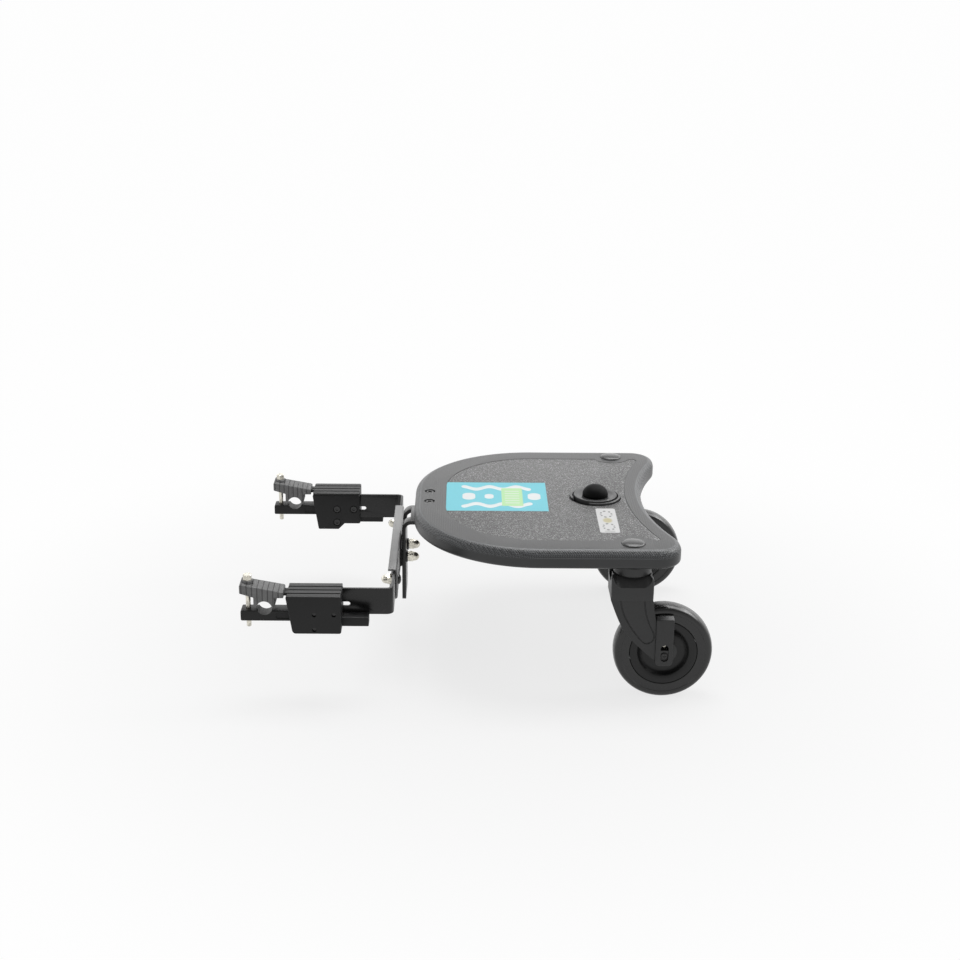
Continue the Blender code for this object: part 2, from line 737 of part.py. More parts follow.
def build_socket():
    """The seat socket: a flanged tube, its plug and the knob that latches the plug."""
    top = DECK_TOP + RING_PROUD
    seat = DECK_TOP - PLUG_SEAT
    bore = TUBE_RADIUS - TUBE_WALL
    bottom = DECK_TOP - TUBE_DEPTH
    centre = (SOCKET_X, 0, 0)
    ring = piece(
        "socket_ring",
        turned(
            "ring",
            [
                (RING_RADIUS, top),
                (RING_RADIUS, top - RING_FLANGE),
                (TUBE_RADIUS, top - RING_FLANGE),
                (TUBE_RADIUS, bottom),
                (bore, bottom),
                (bore, seat),
                (PLUG_RADIUS + PLUG_GAP, seat),
                (PLUG_RADIUS + PLUG_GAP, top),
            ],
            centre=centre,
            closed=True,
        ),
        "deck",
        origin=centre,
    )
    notch_in = PLUG_RADIUS - EPS
    notch_out = RING_RADIUS + EPS
    notch = arc((SOCKET_X, 0), notch_out, NOTCH_START, NOTCH_END, 8)
    notch += arc((SOCKET_X, 0), notch_in, NOTCH_END, NOTCH_START, 8)
    cut(ring, slab("finger_notch", notch, "Z", top - RING_FLANGE - EPS, top + EPS))
    for side in (-1, 1):
        inner, outer = bore - LEDGE_REACH, bore + TUBE_WALL / 2
        low, high = sorted((side * inner, side * outer))
        ledge = box(
            f"ledge_{side}",
            (SOCKET_X - LEDGE_WIDTH / 2, low, LEDGE_TOP - LEDGE_THICKNESS),
            (SOCKET_X + LEDGE_WIDTH / 2, high, LEDGE_TOP),
        )
        join(ring, ledge)

    skirt = bore - GAP
    hole = KNOB_SHAFT + RUN
    floor = seat + GAP
    rim = DECK_TOP + PLUG_PROUD
    piece(
        "socket_plug",
        turned(
            "plug",
            [
                (hole, rim - PLUG_DISH),
                (KNOB_RADIUS + EPS, rim - PLUG_DISH),
                (PLUG_RADIUS - PLUG_LIP, rim),
                (PLUG_RADIUS - EPS, rim),
                (PLUG_RADIUS, rim - EPS),
                (PLUG_RADIUS, floor),
                (skirt, floor),
                (skirt, seat - PLUG_SKIRT),
                (skirt - PLUG_SKIRT_WALL, seat - PLUG_SKIRT),
                (skirt - PLUG_SKIRT_WALL, floor - EPS),
                (hole, floor - EPS),
            ],
            centre=centre,
            closed=True,
        ),
        "deck",
        origin=centre,
    )

    dome = [(0.0, KNOB_BASE + KNOB_HEIGHT)]
    rise = KNOB_HEIGHT - 2 * EPS
    for a, b in arc((0, 0), KNOB_RADIUS, 75, 0, 5, rise / KNOB_RADIUS):
        dome.append((a, KNOB_BASE + 2 * EPS + b))
    dome += [(KNOB_RADIUS, KNOB_BASE), (KNOB_SHAFT, KNOB_BASE)]
    dome += [(KNOB_SHAFT, LATCH_TOP - EPS), (0.0, LATCH_TOP - EPS)]
    knob = piece("plug_knob", turned("knob", dome, centre=centre), "black", origin=centre)
    reach = bore - LATCH_ENDS
    latch = box(
        "latch",
        (SOCKET_X - reach, -LATCH_WIDTH / 2, LATCH_TOP - LATCH_THICKNESS),
        (SOCKET_X + reach, LATCH_WIDTH / 2, LATCH_TOP),
    )
    join(knob, latch)


def build_bracket():
    """The bent bracket: its tongue lies under the deck and its leg runs down behind the channel."""
    outer, inner = BRACKET_BEND, BRACKET_BEND - BRACKET_THICKNESS
    tongue = DECK_FRONT + BRACKET_TONGUE
    middle = (LEG_FRONT_X + outer, BRACKET_TOP - outer)
    foot = CHANNEL_Z - BRACKET_FOOT
    side = arc(middle, outer, 90, 180, 6)
    side += [(LEG_FRONT_X, foot), (LEG_REAR_X, foot)]
    side += arc(middle, inner, 180, 90, 6)
    side += [(tongue, BRACKET_TOP - BRACKET_THICKNESS), (tongue, BRACKET_TOP)]
    half = BRACKET_HALF_WIDTH
    bracket = piece("hitch_bracket", slab("bracket", side, "Y", -half, half), "steel")
    for sign in (-1, 1):
        y = sign * HEIGHT_BOLT_Y
        slot = stadium((y, CHANNEL_Z - RAISE), (y, CHANNEL_Z + LOWER), BOLT_RADIUS + GAP)
        cut(bracket, slab(f"height_slot_{sign}", slot, "X", LEG_FRONT_X - EPS, LEG_REAR_X + EPS))
        place = (DECK_FRONT + FRONT_SCREW_X, sign * FRONT_SCREW_Y)
        low, high = BRACKET_TOP - 2 * BRACKET_THICKNESS, BRACKET_TOP + EPS
        cut(bracket, rod(f"hole_{sign}", (*place, low), (*place, high), FRONT_SCREW_RADIUS + GAP, SMALL))
        edge = half + EPS
        centre = (sign * (half - FOOT_CORNER), foot + FOOT_CORNER)
        sweep = (270, 360) if sign > 0 else (270, 180)
        corner = arc(centre, FOOT_CORNER, *sweep, 4)
        corner += [(sign * edge, foot + FOOT_CORNER), (sign * edge, foot - EPS), (centre[0], foot - EPS)]
        cut(bracket, slab(f"foot_corner_{sign}", corner, "X", LEG_FRONT_X - EPS, LEG_REAR_X + EPS))
    window = box(
        "window",
        (LEG_FRONT_X - EPS, -WINDOW_HALF_WIDTH, BRACKET_TOP - WINDOW_TALL - BRACKET_THICKNESS / 2),
        (LEG_FRONT_X + outer - EPS, WINDOW_HALF_WIDTH, BRACKET_TOP + EPS),
    )
    cut(bracket, window)


def build_front_screw():
    """One of the two screws that hold the deck on the bracket, with its nut."""
    x, y = DECK_FRONT + FRONT_SCREW_X, -FRONT_SCREW_Y
    head_low = DECK_TOP - FRONT_RECESS_DEPTH + GAP
    nut_top = BRACKET_TOP - BRACKET_THICKNESS - GAP
    nut_low = nut_top - NUT_M6_TALL
    r, h = FRONT_SCREW_RADIUS, FRONT_HEAD_RADIUS
    profile = [
        (0, head_low + FRONT_HEAD_TALL),
        (h * 0.7, head_low + FRONT_HEAD_TALL),
        (h, head_low + FRONT_HEAD_TALL / 2),
        (h, head_low),
        (r, head_low),
        (r, nut_low - EPS),
        (0, nut_low - EPS),
    ]
    screw = piece("front_screw_near", turned("screw", profile, centre=(x, y, 0), steps=SMALL), "zinc")
    nut = rod("nut", (x, y, nut_low), (x, y, nut_top), NUT_M6 / math.sqrt(3), 6)
    join(screw, nut)
    far_side(screw, "front_screw_far")


def build_channel():
    """The cross channel, open towards the axle, with the spacer between its web and the bracket."""
    low, high = CHANNEL_Z - CHANNEL_TALL / 2, CHANNEL_Z + CHANNEL_TALL / 2
    lip = CHANNEL_X - CHANNEL_DEPTH
    wall = CHANNEL_WALL
    corners = [
        (lip, high, 0),
        (CHANNEL_X, high, CHANNEL_BEND),
        (CHANNEL_X, low, CHANNEL_BEND),
        (lip, low, 0),
        (lip, low + wall, 0),
        (CHANNEL_X - wall, low + wall, CHANNEL_BEND - wall),
        (CHANNEL_X - wall, high - wall, CHANNEL_BEND - wall),
        (lip, high - wall, 0),
    ]
    half = CHANNEL_HALF_LENGTH
    channel = piece("cross_channel", slab("channel", rounded(corners, 0, 3), "Y", -half, half), "steel")
    front, back = WEB_INNER_X - EPS, CHANNEL_X + EPS
    for side in (-1, 1):
        y = side * HEIGHT_BOLT_Y
        start, end = (front, y, CHANNEL_Z), (back, y, CHANNEL_Z)
        cut(channel, rod(f"hole_{side}", start, end, BOLT_RADIUS + GAP, SMALL))
        inner = side * (WIDTH_BOLT_Y - NARROW)
        outer = side * (WIDTH_BOLT_Y + WIDEN)
        slot = stadium((inner, CHANNEL_Z), (outer, CHANNEL_Z), BOLT_RADIUS + GAP)
        cut(channel, slab(f"width_slot_{side}", slot, "X", front, back))

    half, tall = SPACER_HALF_LENGTH, SPACER_HALF_TALL
    low, high = CHANNEL_Z - tall, CHANNEL_Z + tall
    plate = rounded([(-half, low), (half, low), (half, high), (-half, high)], SPACER_CORNER)
    last = 360 - 360 / SMALL
    holes = []
    for side in (-1, 1):
        holes.append(arc((side * HEIGHT_BOLT_Y, CHANNEL_Z), BOLT_RADIUS + GAP, 0, last, SMALL - 1))
    near = CHANNEL_X + GAP
    piece("spacer_plate", slab("spacer", plate, "X", near, near + SPACER_THICKNESS, holes), "black")


def bolt(name, y, head_x, end_x):
    """A round-headed M8 bolt along X; its head seats at head_x and its shank ends at end_x."""
    way = 1 if end_x > head_x else -1
    profile = [
        (0, abs(end_x - head_x)),
        (BOLT_RADIUS, abs(end_x - head_x)),
        (BOLT_RADIUS, 0),
        (BOLT_HEAD_RADIUS, 0),
        (BOLT_HEAD_RADIUS, -BOLT_HEAD_TALL / 2),
        (BOLT_HEAD_RADIUS * 0.6, -BOLT_HEAD_TALL),
        (0, -BOLT_HEAD_TALL),
    ]
    axis = "X" if way > 0 else "-X"
    centre = (head_x, y, CHANNEL_Z)
    return piece(name, turned(name, profile, axis, centre, SMALL), "zinc", origin=centre)


def cap_nut(name, y, seat_x, way):
    """A domed M8 nut along X, open towards its seat."""
    r = NUT_M8 / 2 - EPS / 2
    centre = (seat_x, y, CHANNEL_Z)
    end = (seat_x + way * NUT_HEX_TALL, y, CHANNEL_Z)
    hexagon = rod("hexagon", centre, end, NUT_M8 / math.sqrt(3), 6)
    nut = piece(name, hexagon, "zinc", origin=centre)
    profile = [(0.0, NUT_TALL)]
    for a, b in arc((0, 0), r, 70, 0, 4, (NUT_TALL - NUT_HEX_TALL) / r):
        profile.append((a, NUT_HEX_TALL + b))
    profile += [(r, NUT_HEX_TALL - EPS), (0.0, NUT_HEX_TALL - EPS)]
    axis = "X" if way > 0 else "-X"
    join(nut, turned("dome", profile, axis, centre, SMALL))
    bore_end = (seat_x + way * NUT_BORE_DEPTH, y, CHANNEL_Z)
    bore_start = (seat_x - way * EPS, y, CHANNEL_Z)
    cut(nut, rod("bore", bore_start, bore_end, BOLT_RADIUS + GAP, SMALL))
    return nut


def build_height_bolts():
    """The two bolts that clamp the bracket's leg to the channel, with washers and cap nuts."""
    y = -HEIGHT_BOLT_Y
    washer_x = LEG_REAR_X + GAP
    nut_x = washer_x + WASHER_THICKNESS + GAP
    made = bolt("height_bolt_near", y, WEB_INNER_X - GAP, nut_x + NUT_BORE_DEPTH - EPS)
    far_side(made, "height_bolt_far")
    ring = turned(
        "washer",
        [
            (WASHER_RADIUS, WASHER_THICKNESS),
            (WASHER_RADIUS, 0),
            (BOLT_RADIUS + GAP, 0),
            (BOLT_RADIUS + GAP, WASHER_THICKNESS),
        ],
        "X",
        (washer_x, y, CHANNEL_Z),
        SMALL,
        closed=True,
    )
    washer = piece("height_washer_near", ring, "black", origin=(washer_x, y, CHANNEL_Z))
    far_side(washer, "height_washer_far")
    far_side(cap_nut("height_nut_near", y, nut_x, 1), "height_nut_far")


def build_arm():
    """The near arm: a strip that lies in the channel, bends and runs forward into the connector."""
    outer_y, inner_y = -ARM_Y - ARM_THICKNESS / 2, -ARM_Y + ARM_THICKNESS / 2
    back, front = ARM_FACE_X, ARM_FACE_X - ARM_THICKNESS
    tip = ARM_TIP
    middle = (back - ARM_BEND, outer_y + ARM_BEND)
    plan = arc(middle, ARM_BEND, 0, -90, 6)
    plan += [(tip, outer_y), (tip, inner_y)]
    plan += arc(middle, ARM_BEND - ARM_THICKNESS, -90, 0, 6)
    plan += [(front, -ARM_FOOT_Y), (back, -ARM_FOOT_Y)]
    low, high = CHANNEL_Z - ARM_TALL / 2, CHANNEL_Z + ARM_TALL / 2
    arm = piece("arm_near", slab("arm", plan, "Z", low, high), "steel")
    place = (-WIDTH_BOLT_Y, CHANNEL_Z)
    hole = rod("hole", (front - EPS, *place), (back + EPS, *place), BOLT_RADIUS + GAP, SMALL)
    first = HEX_SCREW_X - REACH_OUT
    last = HEX_SCREW_X + HEX_SCREW_PITCH + REACH_IN
    slot = stadium((first, HEX_SCREW_Z), (last, HEX_SCREW_Z), HEX_SCREW_RADIUS + GAP)
    cut(arm, hole, slab("reach_slot", slot, "Y", outer_y - EPS, inner_y + EPS))
    far_side(arm, "arm_far")


def build_width_bolt():
    """The bolt that holds an arm in the channel: its head is behind the web, its cap nut in the channel."""
    y = -WIDTH_BOLT_Y
    nut_x = ARM_FACE_X - ARM_THICKNESS - GAP
    made = bolt("width_bolt_near", y, CHANNEL_X + GAP, nut_x - NUT_BORE_DEPTH + EPS)
    far_side(made, "width_bolt_far")
    far_side(cap_nut("width_nut_near", y, nut_x, -1), "width_nut_far")


def connector_outline(top, bottom, front, rear):
    """A connector's side, slanted at its front."""
    return [
        (front, top, EPS),
        (front + SHELL_SLANT, bottom, SHELL_CORNER),
        (rear, bottom, SHELL_CORNER / 2),
        (rear, top, EPS),
    ]


def tongue_outline(spare, rear):
    """The connector's tongue in the saddle from the side, drawn out by a clearance."""
    low, high = TONGUE_BOTTOM - spare, TONGUE_BOTTOM + TONGUE_TALL + spare
    knee, tip = -LOBE_HALF_LENGTH, -SADDLE_FRONT + TONGUE_END - spare
    return [
        (rear, low),
        (rear, high),
        (knee, high),
        (tip, high + TONGUE_RISE),
        (tip, low + TONGUE_RISE),
        (knee, low),
    ]


def bolt_hole():
    """A hole for the clamp's bolt, through all of the near clamp."""
    low = (-CLAMP_BOLT_X, -CLAMP_MID_Y, JAW_TOP - 2 * JAW_TALL)
    high = (*low[:2], SADDLE_BOSS_TOP + EPS)
    return rod("bolt_hole", low, high, CLAMP_BOLT_RADIUS + GAP, SMALL)


def axle_bore():
    """The space for the pram's axle, through the near clamp."""
    return rod("axle_bore", (0, -CLAMP_OUTER_Y - EPS, 0), (0, -CLAMP_INNER_Y + EPS, 0), CLAMP_BORE)


def hex_screw_places():
    """The three screws of a connector, as (X, Z)."""
    return [
        (HEX_SCREW_X, HEX_SCREW_Z),
        (HEX_SCREW_X + HEX_SCREW_PITCH, HEX_SCREW_Z),
        (HEX_SCREW_X, HEX_SCREW_Z - HEX_SCREW_DROP),
    ]


def build_connector():
    """The near connector: a shell and an inner plate, screwed together through the arm."""
    front, rear = SHELL_FRONT, SHELL_REAR
    outline = rounded(connector_outline(SHELL_TOP_Z, SHELL_BOTTOM_Z, front, rear), 0, 3)
    shell = piece("shell_near", slab("shell", outline, "Y", -SHELL_OUTER, -SHELL_INNER), "black")
    roof_low = ARM_TOP_Z + GAP
    roof_end = (rear - EPS / 2, -PLATE_INNER, SHELL_TOP_Z - EPS / 5)
    roof = box("roof", (front + EPS, -SHELL_INNER - EPS, roof_low), roof_end)
    toe_low = TOE_BOTTOM + FLOOR
    toe_end = (TOE_REAR, -SHELL_INNER, toe_low + TOE_TALL)
    toe = box("toe", (rear - 2 * EPS, -SHELL_INNER - TOE_WIDTH, toe_low), toe_end)
    across = (-CLAMP_MID_Y - TONGUE_HALF_WIDTH, -CLAMP_MID_Y + TONGUE_HALF_WIDTH)
    join(shell, roof, toe, slab("tongue", tongue_outline(0.0, front + 3 * EPS), "Y", *across))
    cut(shell, bolt_hole())
    pitch = (SHELL_OUTER - PLATE_INNER) / (ROOF_GROOVES + 1)
    for i in range(ROOF_GROOVES):
        y = -PLATE_INNER - pitch * (i + 1)
        groove = box(
            f"groove_{i}",
            (front - EPS, y - ROOF_GROOVE_WIDTH / 2, SHELL_TOP_Z - ROOF_GROOVE_DEPTH),
            (rear + EPS, y + ROOF_GROOVE_WIDTH / 2, SHELL_TOP_Z + EPS),
        )
        cut(shell, groove)
    pocket = box(
        "jaw_pocket",
        (front - 2 * EPS, -CLAMP_MID_Y - JAW_HALF_WIDTH - GAP, JAW_TOP - JAW_TALL - JAW_DROP - GAP),
        (JAW_REAR + GAP, -CLAMP_MID_Y + JAW_HALF_WIDTH + GAP, JAW_TOP + GAP),
    )
    cut(shell, pocket)
    for i, (x, z) in enumerate(hex_screw_places()):
        start, end = (x, -SHELL_OUTER - EPS, z), (x, -SHELL_INNER + EPS, z)
        cut(shell, rod(f"bore_{i}", start, end, HEX_SCREW_RADIUS + GAP, SMALL))

    bottom = PLATE_BOTTOM + FLOOR
    step = PLATE_STEP_X + front
    corners = [
        (front, ARM_TOP_Z, EPS),
        (front + SHELL_SLANT, bottom, 2 * EPS),
        (step, bottom, 2 * EPS),
        (step + PLATE_STEP_TALL, bottom + PLATE_STEP_TALL, 2 * EPS),
        (rear, bottom + PLATE_STEP_TALL, EPS),
        (rear, ARM_TOP_Z, EPS),
    ]
    mesh = slab("plate", rounded(corners, 0, 2), "Y", -PLATE_OUTER, -PLATE_INNER)
    plate = piece("plate_near", mesh, "black")
    for i, (x, z) in enumerate(hex_screw_places()):
        start, end = (x, -PLATE_OUTER - EPS, z), (x, -PLATE_INNER + EPS, z)
        recess = (x, -PLATE_INNER - HEX_HEAD_TALL, z)
        cut(
            plate,
            rod(f"bore_{i}", start, end, HEX_SCREW_RADIUS + GAP, SMALL),
            rod(f"recess_{i}", recess, end, HEX_RECESS_RADIUS, SMALL),
        )
        length = SHELL_OUTER - PLATE_INNER - HEX_HEAD_TALL - GAP
        profile = [
            (0, length - 2 * EPS),
            (HEX_SCREW_RADIUS, length - 2 * EPS),
            (HEX_SCREW_RADIUS, 0),
            (HEX_HEAD_RADIUS, 0),
            (HEX_HEAD_RADIUS, -HEX_HEAD_TALL + GAP),
            (0, -HEX_HEAD_TALL + GAP),
        ]
        seat = (x, -PLATE_INNER - HEX_HEAD_TALL + GAP, z)
        name = f"hex_screw_{i + 1}"
        screw = piece(f"{name}_near", turned(name, profile, "-Y", seat, SMALL), "black", origin=seat)
        far_side(screw, f"{name}_far")
    far_side(shell, "shell_far")
    far_side(plate, "plate_far")


def build_clamp():
    """The near axle clamp: a rubber saddle over the axle, a jaw bar below it and their bolt."""
    lobe = LOBE_HALF_LENGTH
    y = -CLAMP_MID_Y
    side = [
        (-SADDLE_FRONT, SADDLE_FRONT_BOTTOM + SADDLE_FRONT_TALL, EPS),
        (-SADDLE_FRONT, SADDLE_FRONT_BOTTOM, EPS),
        (-lobe, SADDLE_REAR_BOTTOM + EPS / 2, 0),
        (-lobe, SADDLE_LOBE, EPS),
        (lobe, SADDLE_LOBE, EPS),
        (lobe, SADDLE_REAR_BOTTOM, 0),
        (SADDLE_REAR, SADDLE_REAR_BOTTOM, EPS),
        (SADDLE_REAR, SADDLE_REAR_BOTTOM + SADDLE_REAR_TALL, EPS),
    ]
    mesh = slab("saddle", rounded(side, 0, 2), "Y", -CLAMP_OUTER_Y, -CLAMP_INNER_Y)
    saddle = piece("saddle_near", mesh, "rubber")
    base = (-CLAMP_BOLT_X, y, SADDLE_FRONT_BOTTOM + EPS)
    join(saddle, rod("boss", base, (*base[:2], SADDLE_BOSS_TOP), SADDLE_BOSS_RADIUS))
    across = (y - TONGUE_HALF_WIDTH - GAP, y + TONGUE_HALF_WIDTH + GAP)
    sleeve = slab("tongue_slot", tongue_outline(GAP, SADDLE_REAR + EPS), "Y", *across)
    cut(saddle, axle_bore(), sleeve, bolt_hole())
    far_side(saddle, "saddle_far")

    low, rear = JAW_TOP - JAW_TALL, JAW_REAR
    corners = [(-SADDLE_FRONT, JAW_TOP), (-SADDLE_FRONT, low), (rear, low), (rear, JAW_TOP)]
    mesh = slab("jaw", rounded(corners, 2 * EPS, 3), "Y", y - JAW_HALF_WIDTH, y + JAW_HALF_WIDTH)
    jaw = piece("jaw_near", mesh, "black", origin=(0, y, JAW_TOP))
    cut(jaw, axle_bore(), bolt_hole())
    far_side(jaw, "jaw_far")

    seat = (-CLAMP_BOLT_X, y, SADDLE_BOSS_TOP + GAP)
    end = (*seat[:2], low - CLAMP_BOLT_TAIL)
    head = rod("head", seat, (*seat[:2], seat[2] + CLAMP_BOLT_HEAD), NUT_M6 / math.sqrt(3), 6)
    clamp_bolt = piece("clamp_bolt_near", head, "zinc", origin=seat)
    join(clamp_bolt, rod("shank", end, (*seat[:2], seat[2] + EPS), CLAMP_BOLT_RADIUS, SMALL))
    far_side(clamp_bolt, "clamp_bolt_far")


def leg_outline():
    """A fork leg from the side: it sweeps back from the crown to the boss round the wheel's axle."""
    front = [(-CROWN_FRONT, CROWN_BOTTOM + 2 * EPS)]
    for back, share in (
        (64.9, 0.889),
        (59.9, 0.690),
        (55.7, 0.557),
        (51.5, 0.457),
        (42.7, 0.307),
        (34.6, 0.191),
        (24.1, 0.056),
        (14.8, -0.060),
    ):
        front.append((TRAIL - back * MM, WHEEL_Z + share * LEG_DROP))
    boss = arc((TRAIL, WHEEL_Z + BOSS_ABOVE_AXLE), BOSS_RADIUS, 228, 404, 12)
    rear = [
        (TRAIL + GUIDE_REAR - EPS, WHEEL_Z + 0.329 * LEG_DROP),
        (TRAIL - GUIDE_FRONT + EPS, WHEEL_Z + 0.357 * LEG_DROP),
        (TRAIL - GUIDE_FRONT + EPS / 2, WHEEL_Z + 0.617 * LEG_DROP),
        (TRAIL - 13.2 * MM, WHEEL_Z + 0.727 * LEG_DROP),
        (TRAIL - 15.0 * MM, WHEEL_Z + 0.860 * LEG_DROP),
        (CROWN_REAR, CROWN_BOTTOM + 2 * EPS),
    ]
    return [(STEM_X + x, y) for x, y in front + boss + rear]


def guide_outline():
    """The axle guide on a fork leg from the side: an upright block with rounded lower corners."""
    front, rear = WHEEL_X - GUIDE_FRONT, WHEEL_X + GUIDE_REAR
    low = WHEEL_Z - GUIDE_BELOW_AXLE
    return rounded([(front, low), (rear, low), (rear, GUIDE_TOP, 0), (front, GUIDE_TOP, 0)], GUIDE_CORNER)


def crown_scoop(side):
    """The hollow in the near crown's shoulder, on one side: it falls outwards between the two lobes."""
    front, rear = STEM_X - CROWN_FRONT + SCOOP_EDGE, STEM_X + CROWN_REAR - SCOOP_EDGE
    tall = CROWN_TALL
    outline = rounded([(front, 0, SCOOP_CORNER), (rear, 0, SCOOP_CORNER), (rear, tall, 0), (front, tall, 0)], 0)
    low, high = sorted((-side * 4 * EPS, side * CROWN_HALF_WIDTH))
    mesh = slab(f"scoop_{side}", outline, "Y", low, high)
    angle = math.atan2(CROWN_SHOULDER, CROWN_HALF_WIDTH - CROWN_TOP_HALF)
    place = (0, -STEM_Y + side * CROWN_TOP_HALF, CROWN_TOP)
    mesh.transform(Matrix.Translation(place) @ Matrix.Rotation(-side * angle, 4, "X"))
    return mesh


def build_crown():
    """The near fork's crown: a block with four low lobes round the collar's seat."""
    y = -STEM_Y
    front, rear = STEM_X - CROWN_FRONT, STEM_X + CROWN_REAR
    outline = rounded(
        [
            (front, CROWN_BOTTOM, 0),
            (rear, CROWN_BOTTOM, 0),
            (rear, LOBE_TOP, LOBE_REAR_CORNER),
            (front, LOBE_TOP, LOBE_FRONT_CORNER),
        ],
        0,
    )
    mesh = slab("crown", outline, "Y", y - CROWN_HALF_WIDTH, y + CROWN_HALF_WIDTH)
    fork = piece("fork_near", mesh, "black", origin=(STEM_X, y, CROWN_TOP))
    seat, above = (STEM_X, y, CROWN_TOP), (STEM_X, y, LOBE_TOP + EPS)
    cut(fork, rod("collar_seat", seat, above, COLLAR_RADIUS + 2 * EPS), crown_scoop(-1), crown_scoop(1))
    low, high = CROWN_TOP - DIP_DEPTH, LOBE_TOP + 2 * EPS
    wide = DIP_HALF_WIDTH
    dip = rounded(
        [(y - wide, low, DIP_CORNER), (y + wide, low, DIP_CORNER), (y + wide, high, 0), (y - wide, high, 0)], 0
    )
    cut(fork, slab("dip", dip, "X", front - EPS, rear + EPS))
    core = rod("core", (STEM_X, y, low - EPS), (STEM_X, y, high + EPS), COLLAR_RADIUS + EPS)
    cut(fork.modifiers[-1].object, core)
    for side in (-1, 1):
        taper = [
            (y + side * LEG_OUTER, CROWN_BOTTOM - EPS),
            (y + side * (CROWN_HALF_WIDTH + EPS / 5), CROWN_BOTTOM - EPS),
            (y + side * (CROWN_HALF_WIDTH + EPS / 5), CROWN_BOTTOM + CROWN_TAPER),
        ]
        cut(fork, slab(f"taper_{side}", taper, "X", front - EPS, rear + EPS))
    return fork


def build_fork():
    """The near caster's fork: crown, two swept legs and a slotted axle guide on each."""
    y = -STEM_Y
    fork = build_crown()
    for side in (-1, 1):
        inner, outer = y + side * LEG_INNER, y + side * LEG_OUTER
        join(fork, slab(f"leg_{side}", leg_outline(), "Y", *sorted((inner, outer))))
        guide_in = y + side * (LEG_INNER + EPS / 2)
        guide_out = y + side * GUIDE_OUTER
        guide = slab(f"guide_{side}", guide_outline(), "Y", *sorted((guide_in, guide_out)))
        join(fork, guide)
        slope = [
            (y + side * LEG_INNER, GUIDE_TOP + EPS / 5),
            (y + side * (GUIDE_OUTER + EPS), GUIDE_TOP - GUIDE_SLANT - GUIDE_SLANT / 9),
            (y + side * (GUIDE_OUTER + EPS), GUIDE_TOP + EPS),
        ]
        back, ahead = STEM_X + TRAIL - GUIDE_FRONT - EPS, WHEEL_X + GUIDE_REAR + EPS
        cut(fork.modifiers[-1].object, slab(f"slope_{side}", slope, "X", back, ahead))
        pocket_in, pocket_out = y + side * (LEG_INNER - EPS), y + side * POCKET_OUTER
        near, far = sorted((pocket_in, pocket_out))
        pocket = box(
            f"pocket_{side}",
            (WHEEL_X - POCKET_HALF_WIDTH, near, WHEEL_Z - SLIDER_BELOW - GAP),
            (WHEEL_X + POCKET_HALF_WIDTH, far, POCKET_TOP),
        )
        low, high = WHEEL_Z - SLOT_SPARE, WHEEL_Z + SLOT_TRAVEL + SLOT_SPARE
        slot = stadium((WHEEL_X, low), (WHEEL_X, high), SCREW_HEAD + SLOT_SIDE, 6)
        slot_in, slot_out = y + side * (POCKET_OUTER - EPS), y + side * (GUIDE_OUTER + EPS)
        cut(fork, pocket, slab(f"axle_slot_{side}", slot, "Y", *sorted((slot_in, slot_out))))
    bore_low = CROWN_TOP - STEM_SEAT
    cut(fork, rod("stem_bore", (STEM_X, y, bore_low), (STEM_X, y, CROWN_TOP + EPS), STEM_RADIUS + GAP, SMALL))
    far_side(fork, "fork_far")


def build_stem():
    """The near caster's stem, the collar round it and the cap over its hole."""
    x, y = STEM_X, -STEM_Y
    top = DECK_TOP - CAP_RECESS - CAP_STUB - GAP
    bottom = CROWN_TOP - STEM_SEAT + GAP
    mesh = rod("stem", (x, y, bottom), (x, y, top), STEM_RADIUS, SMALL)
    stem = piece("stem_near", mesh, "zinc", origin=(x, y, bottom))
    far_side(stem, "stem_far")
    collar_top = DECK_BOTTOM - GAP
    centre = (x, y, 0)
    collar = turned(
        "collar",
        [
            (COLLAR_RADIUS, collar_top),
            (COLLAR_RADIUS - COLLAR_TAPER, COLLAR_BOTTOM),
            (STEM_RADIUS + RUN, COLLAR_BOTTOM),
            (STEM_RADIUS + RUN, collar_top),
        ],
        centre=centre,
        closed=True,
    )
    far_side(piece("collar_near", collar, "black", origin=(x, y, collar_top)), "collar_far")
    seat = DECK_TOP - CAP_RECESS + GAP
    rise = DECK_TOP + CAP_HEIGHT - seat - EPS / 2
    profile = [(0.0, seat + EPS / 2 + rise)]
    for a, b in arc((0, 0), CAP_RADIUS, 65, 0, 3, rise / CAP_RADIUS):
        profile.append((a, seat + EPS / 2 + b))
    stub = STEM_RADIUS - GAP
    profile += [(CAP_RADIUS, seat), (stub, seat), (stub, seat - CAP_STUB), (0.0, seat - CAP_STUB)]
    cap = piece("stem_cap_near", turned("cap", profile, centre=centre), "black", origin=(x, y, seat))
    far_side(cap, "stem_cap_far")


def spring_path(centre, low, high):
    """A coil spring's points: straight ends one wire across, and curls between them."""
    lead = 2 * SPRING_WIRE
    count = SPRING_CURLS * CURL_POINTS
    points = [Vector((centre[0] + SPRING_RADIUS, centre[1], low))]
    for i in range(count + 1):
        angle = 2 * math.pi * i / CURL_POINTS
        x, y = centre[0] + SPRING_RADIUS * math.cos(angle), centre[1] + SPRING_RADIUS * math.sin(angle)
        z = low + lead + (high - low - 2 * lead) * i / count
        points.append(Vector((x, y, z)))
    points.append(Vector((centre[0] + SPRING_RADIUS, centre[1], high)))
    return points


def coil_gap(points):
    """The least gap between points of different curls, from surface to surface."""
    least = math.inf
    for i, a in enumerate(points):
        for b in points[i + CURL_POINTS // 2 :]:
            least = min(least, (a - b).length)
    return least - 2 * SPRING_WIRE


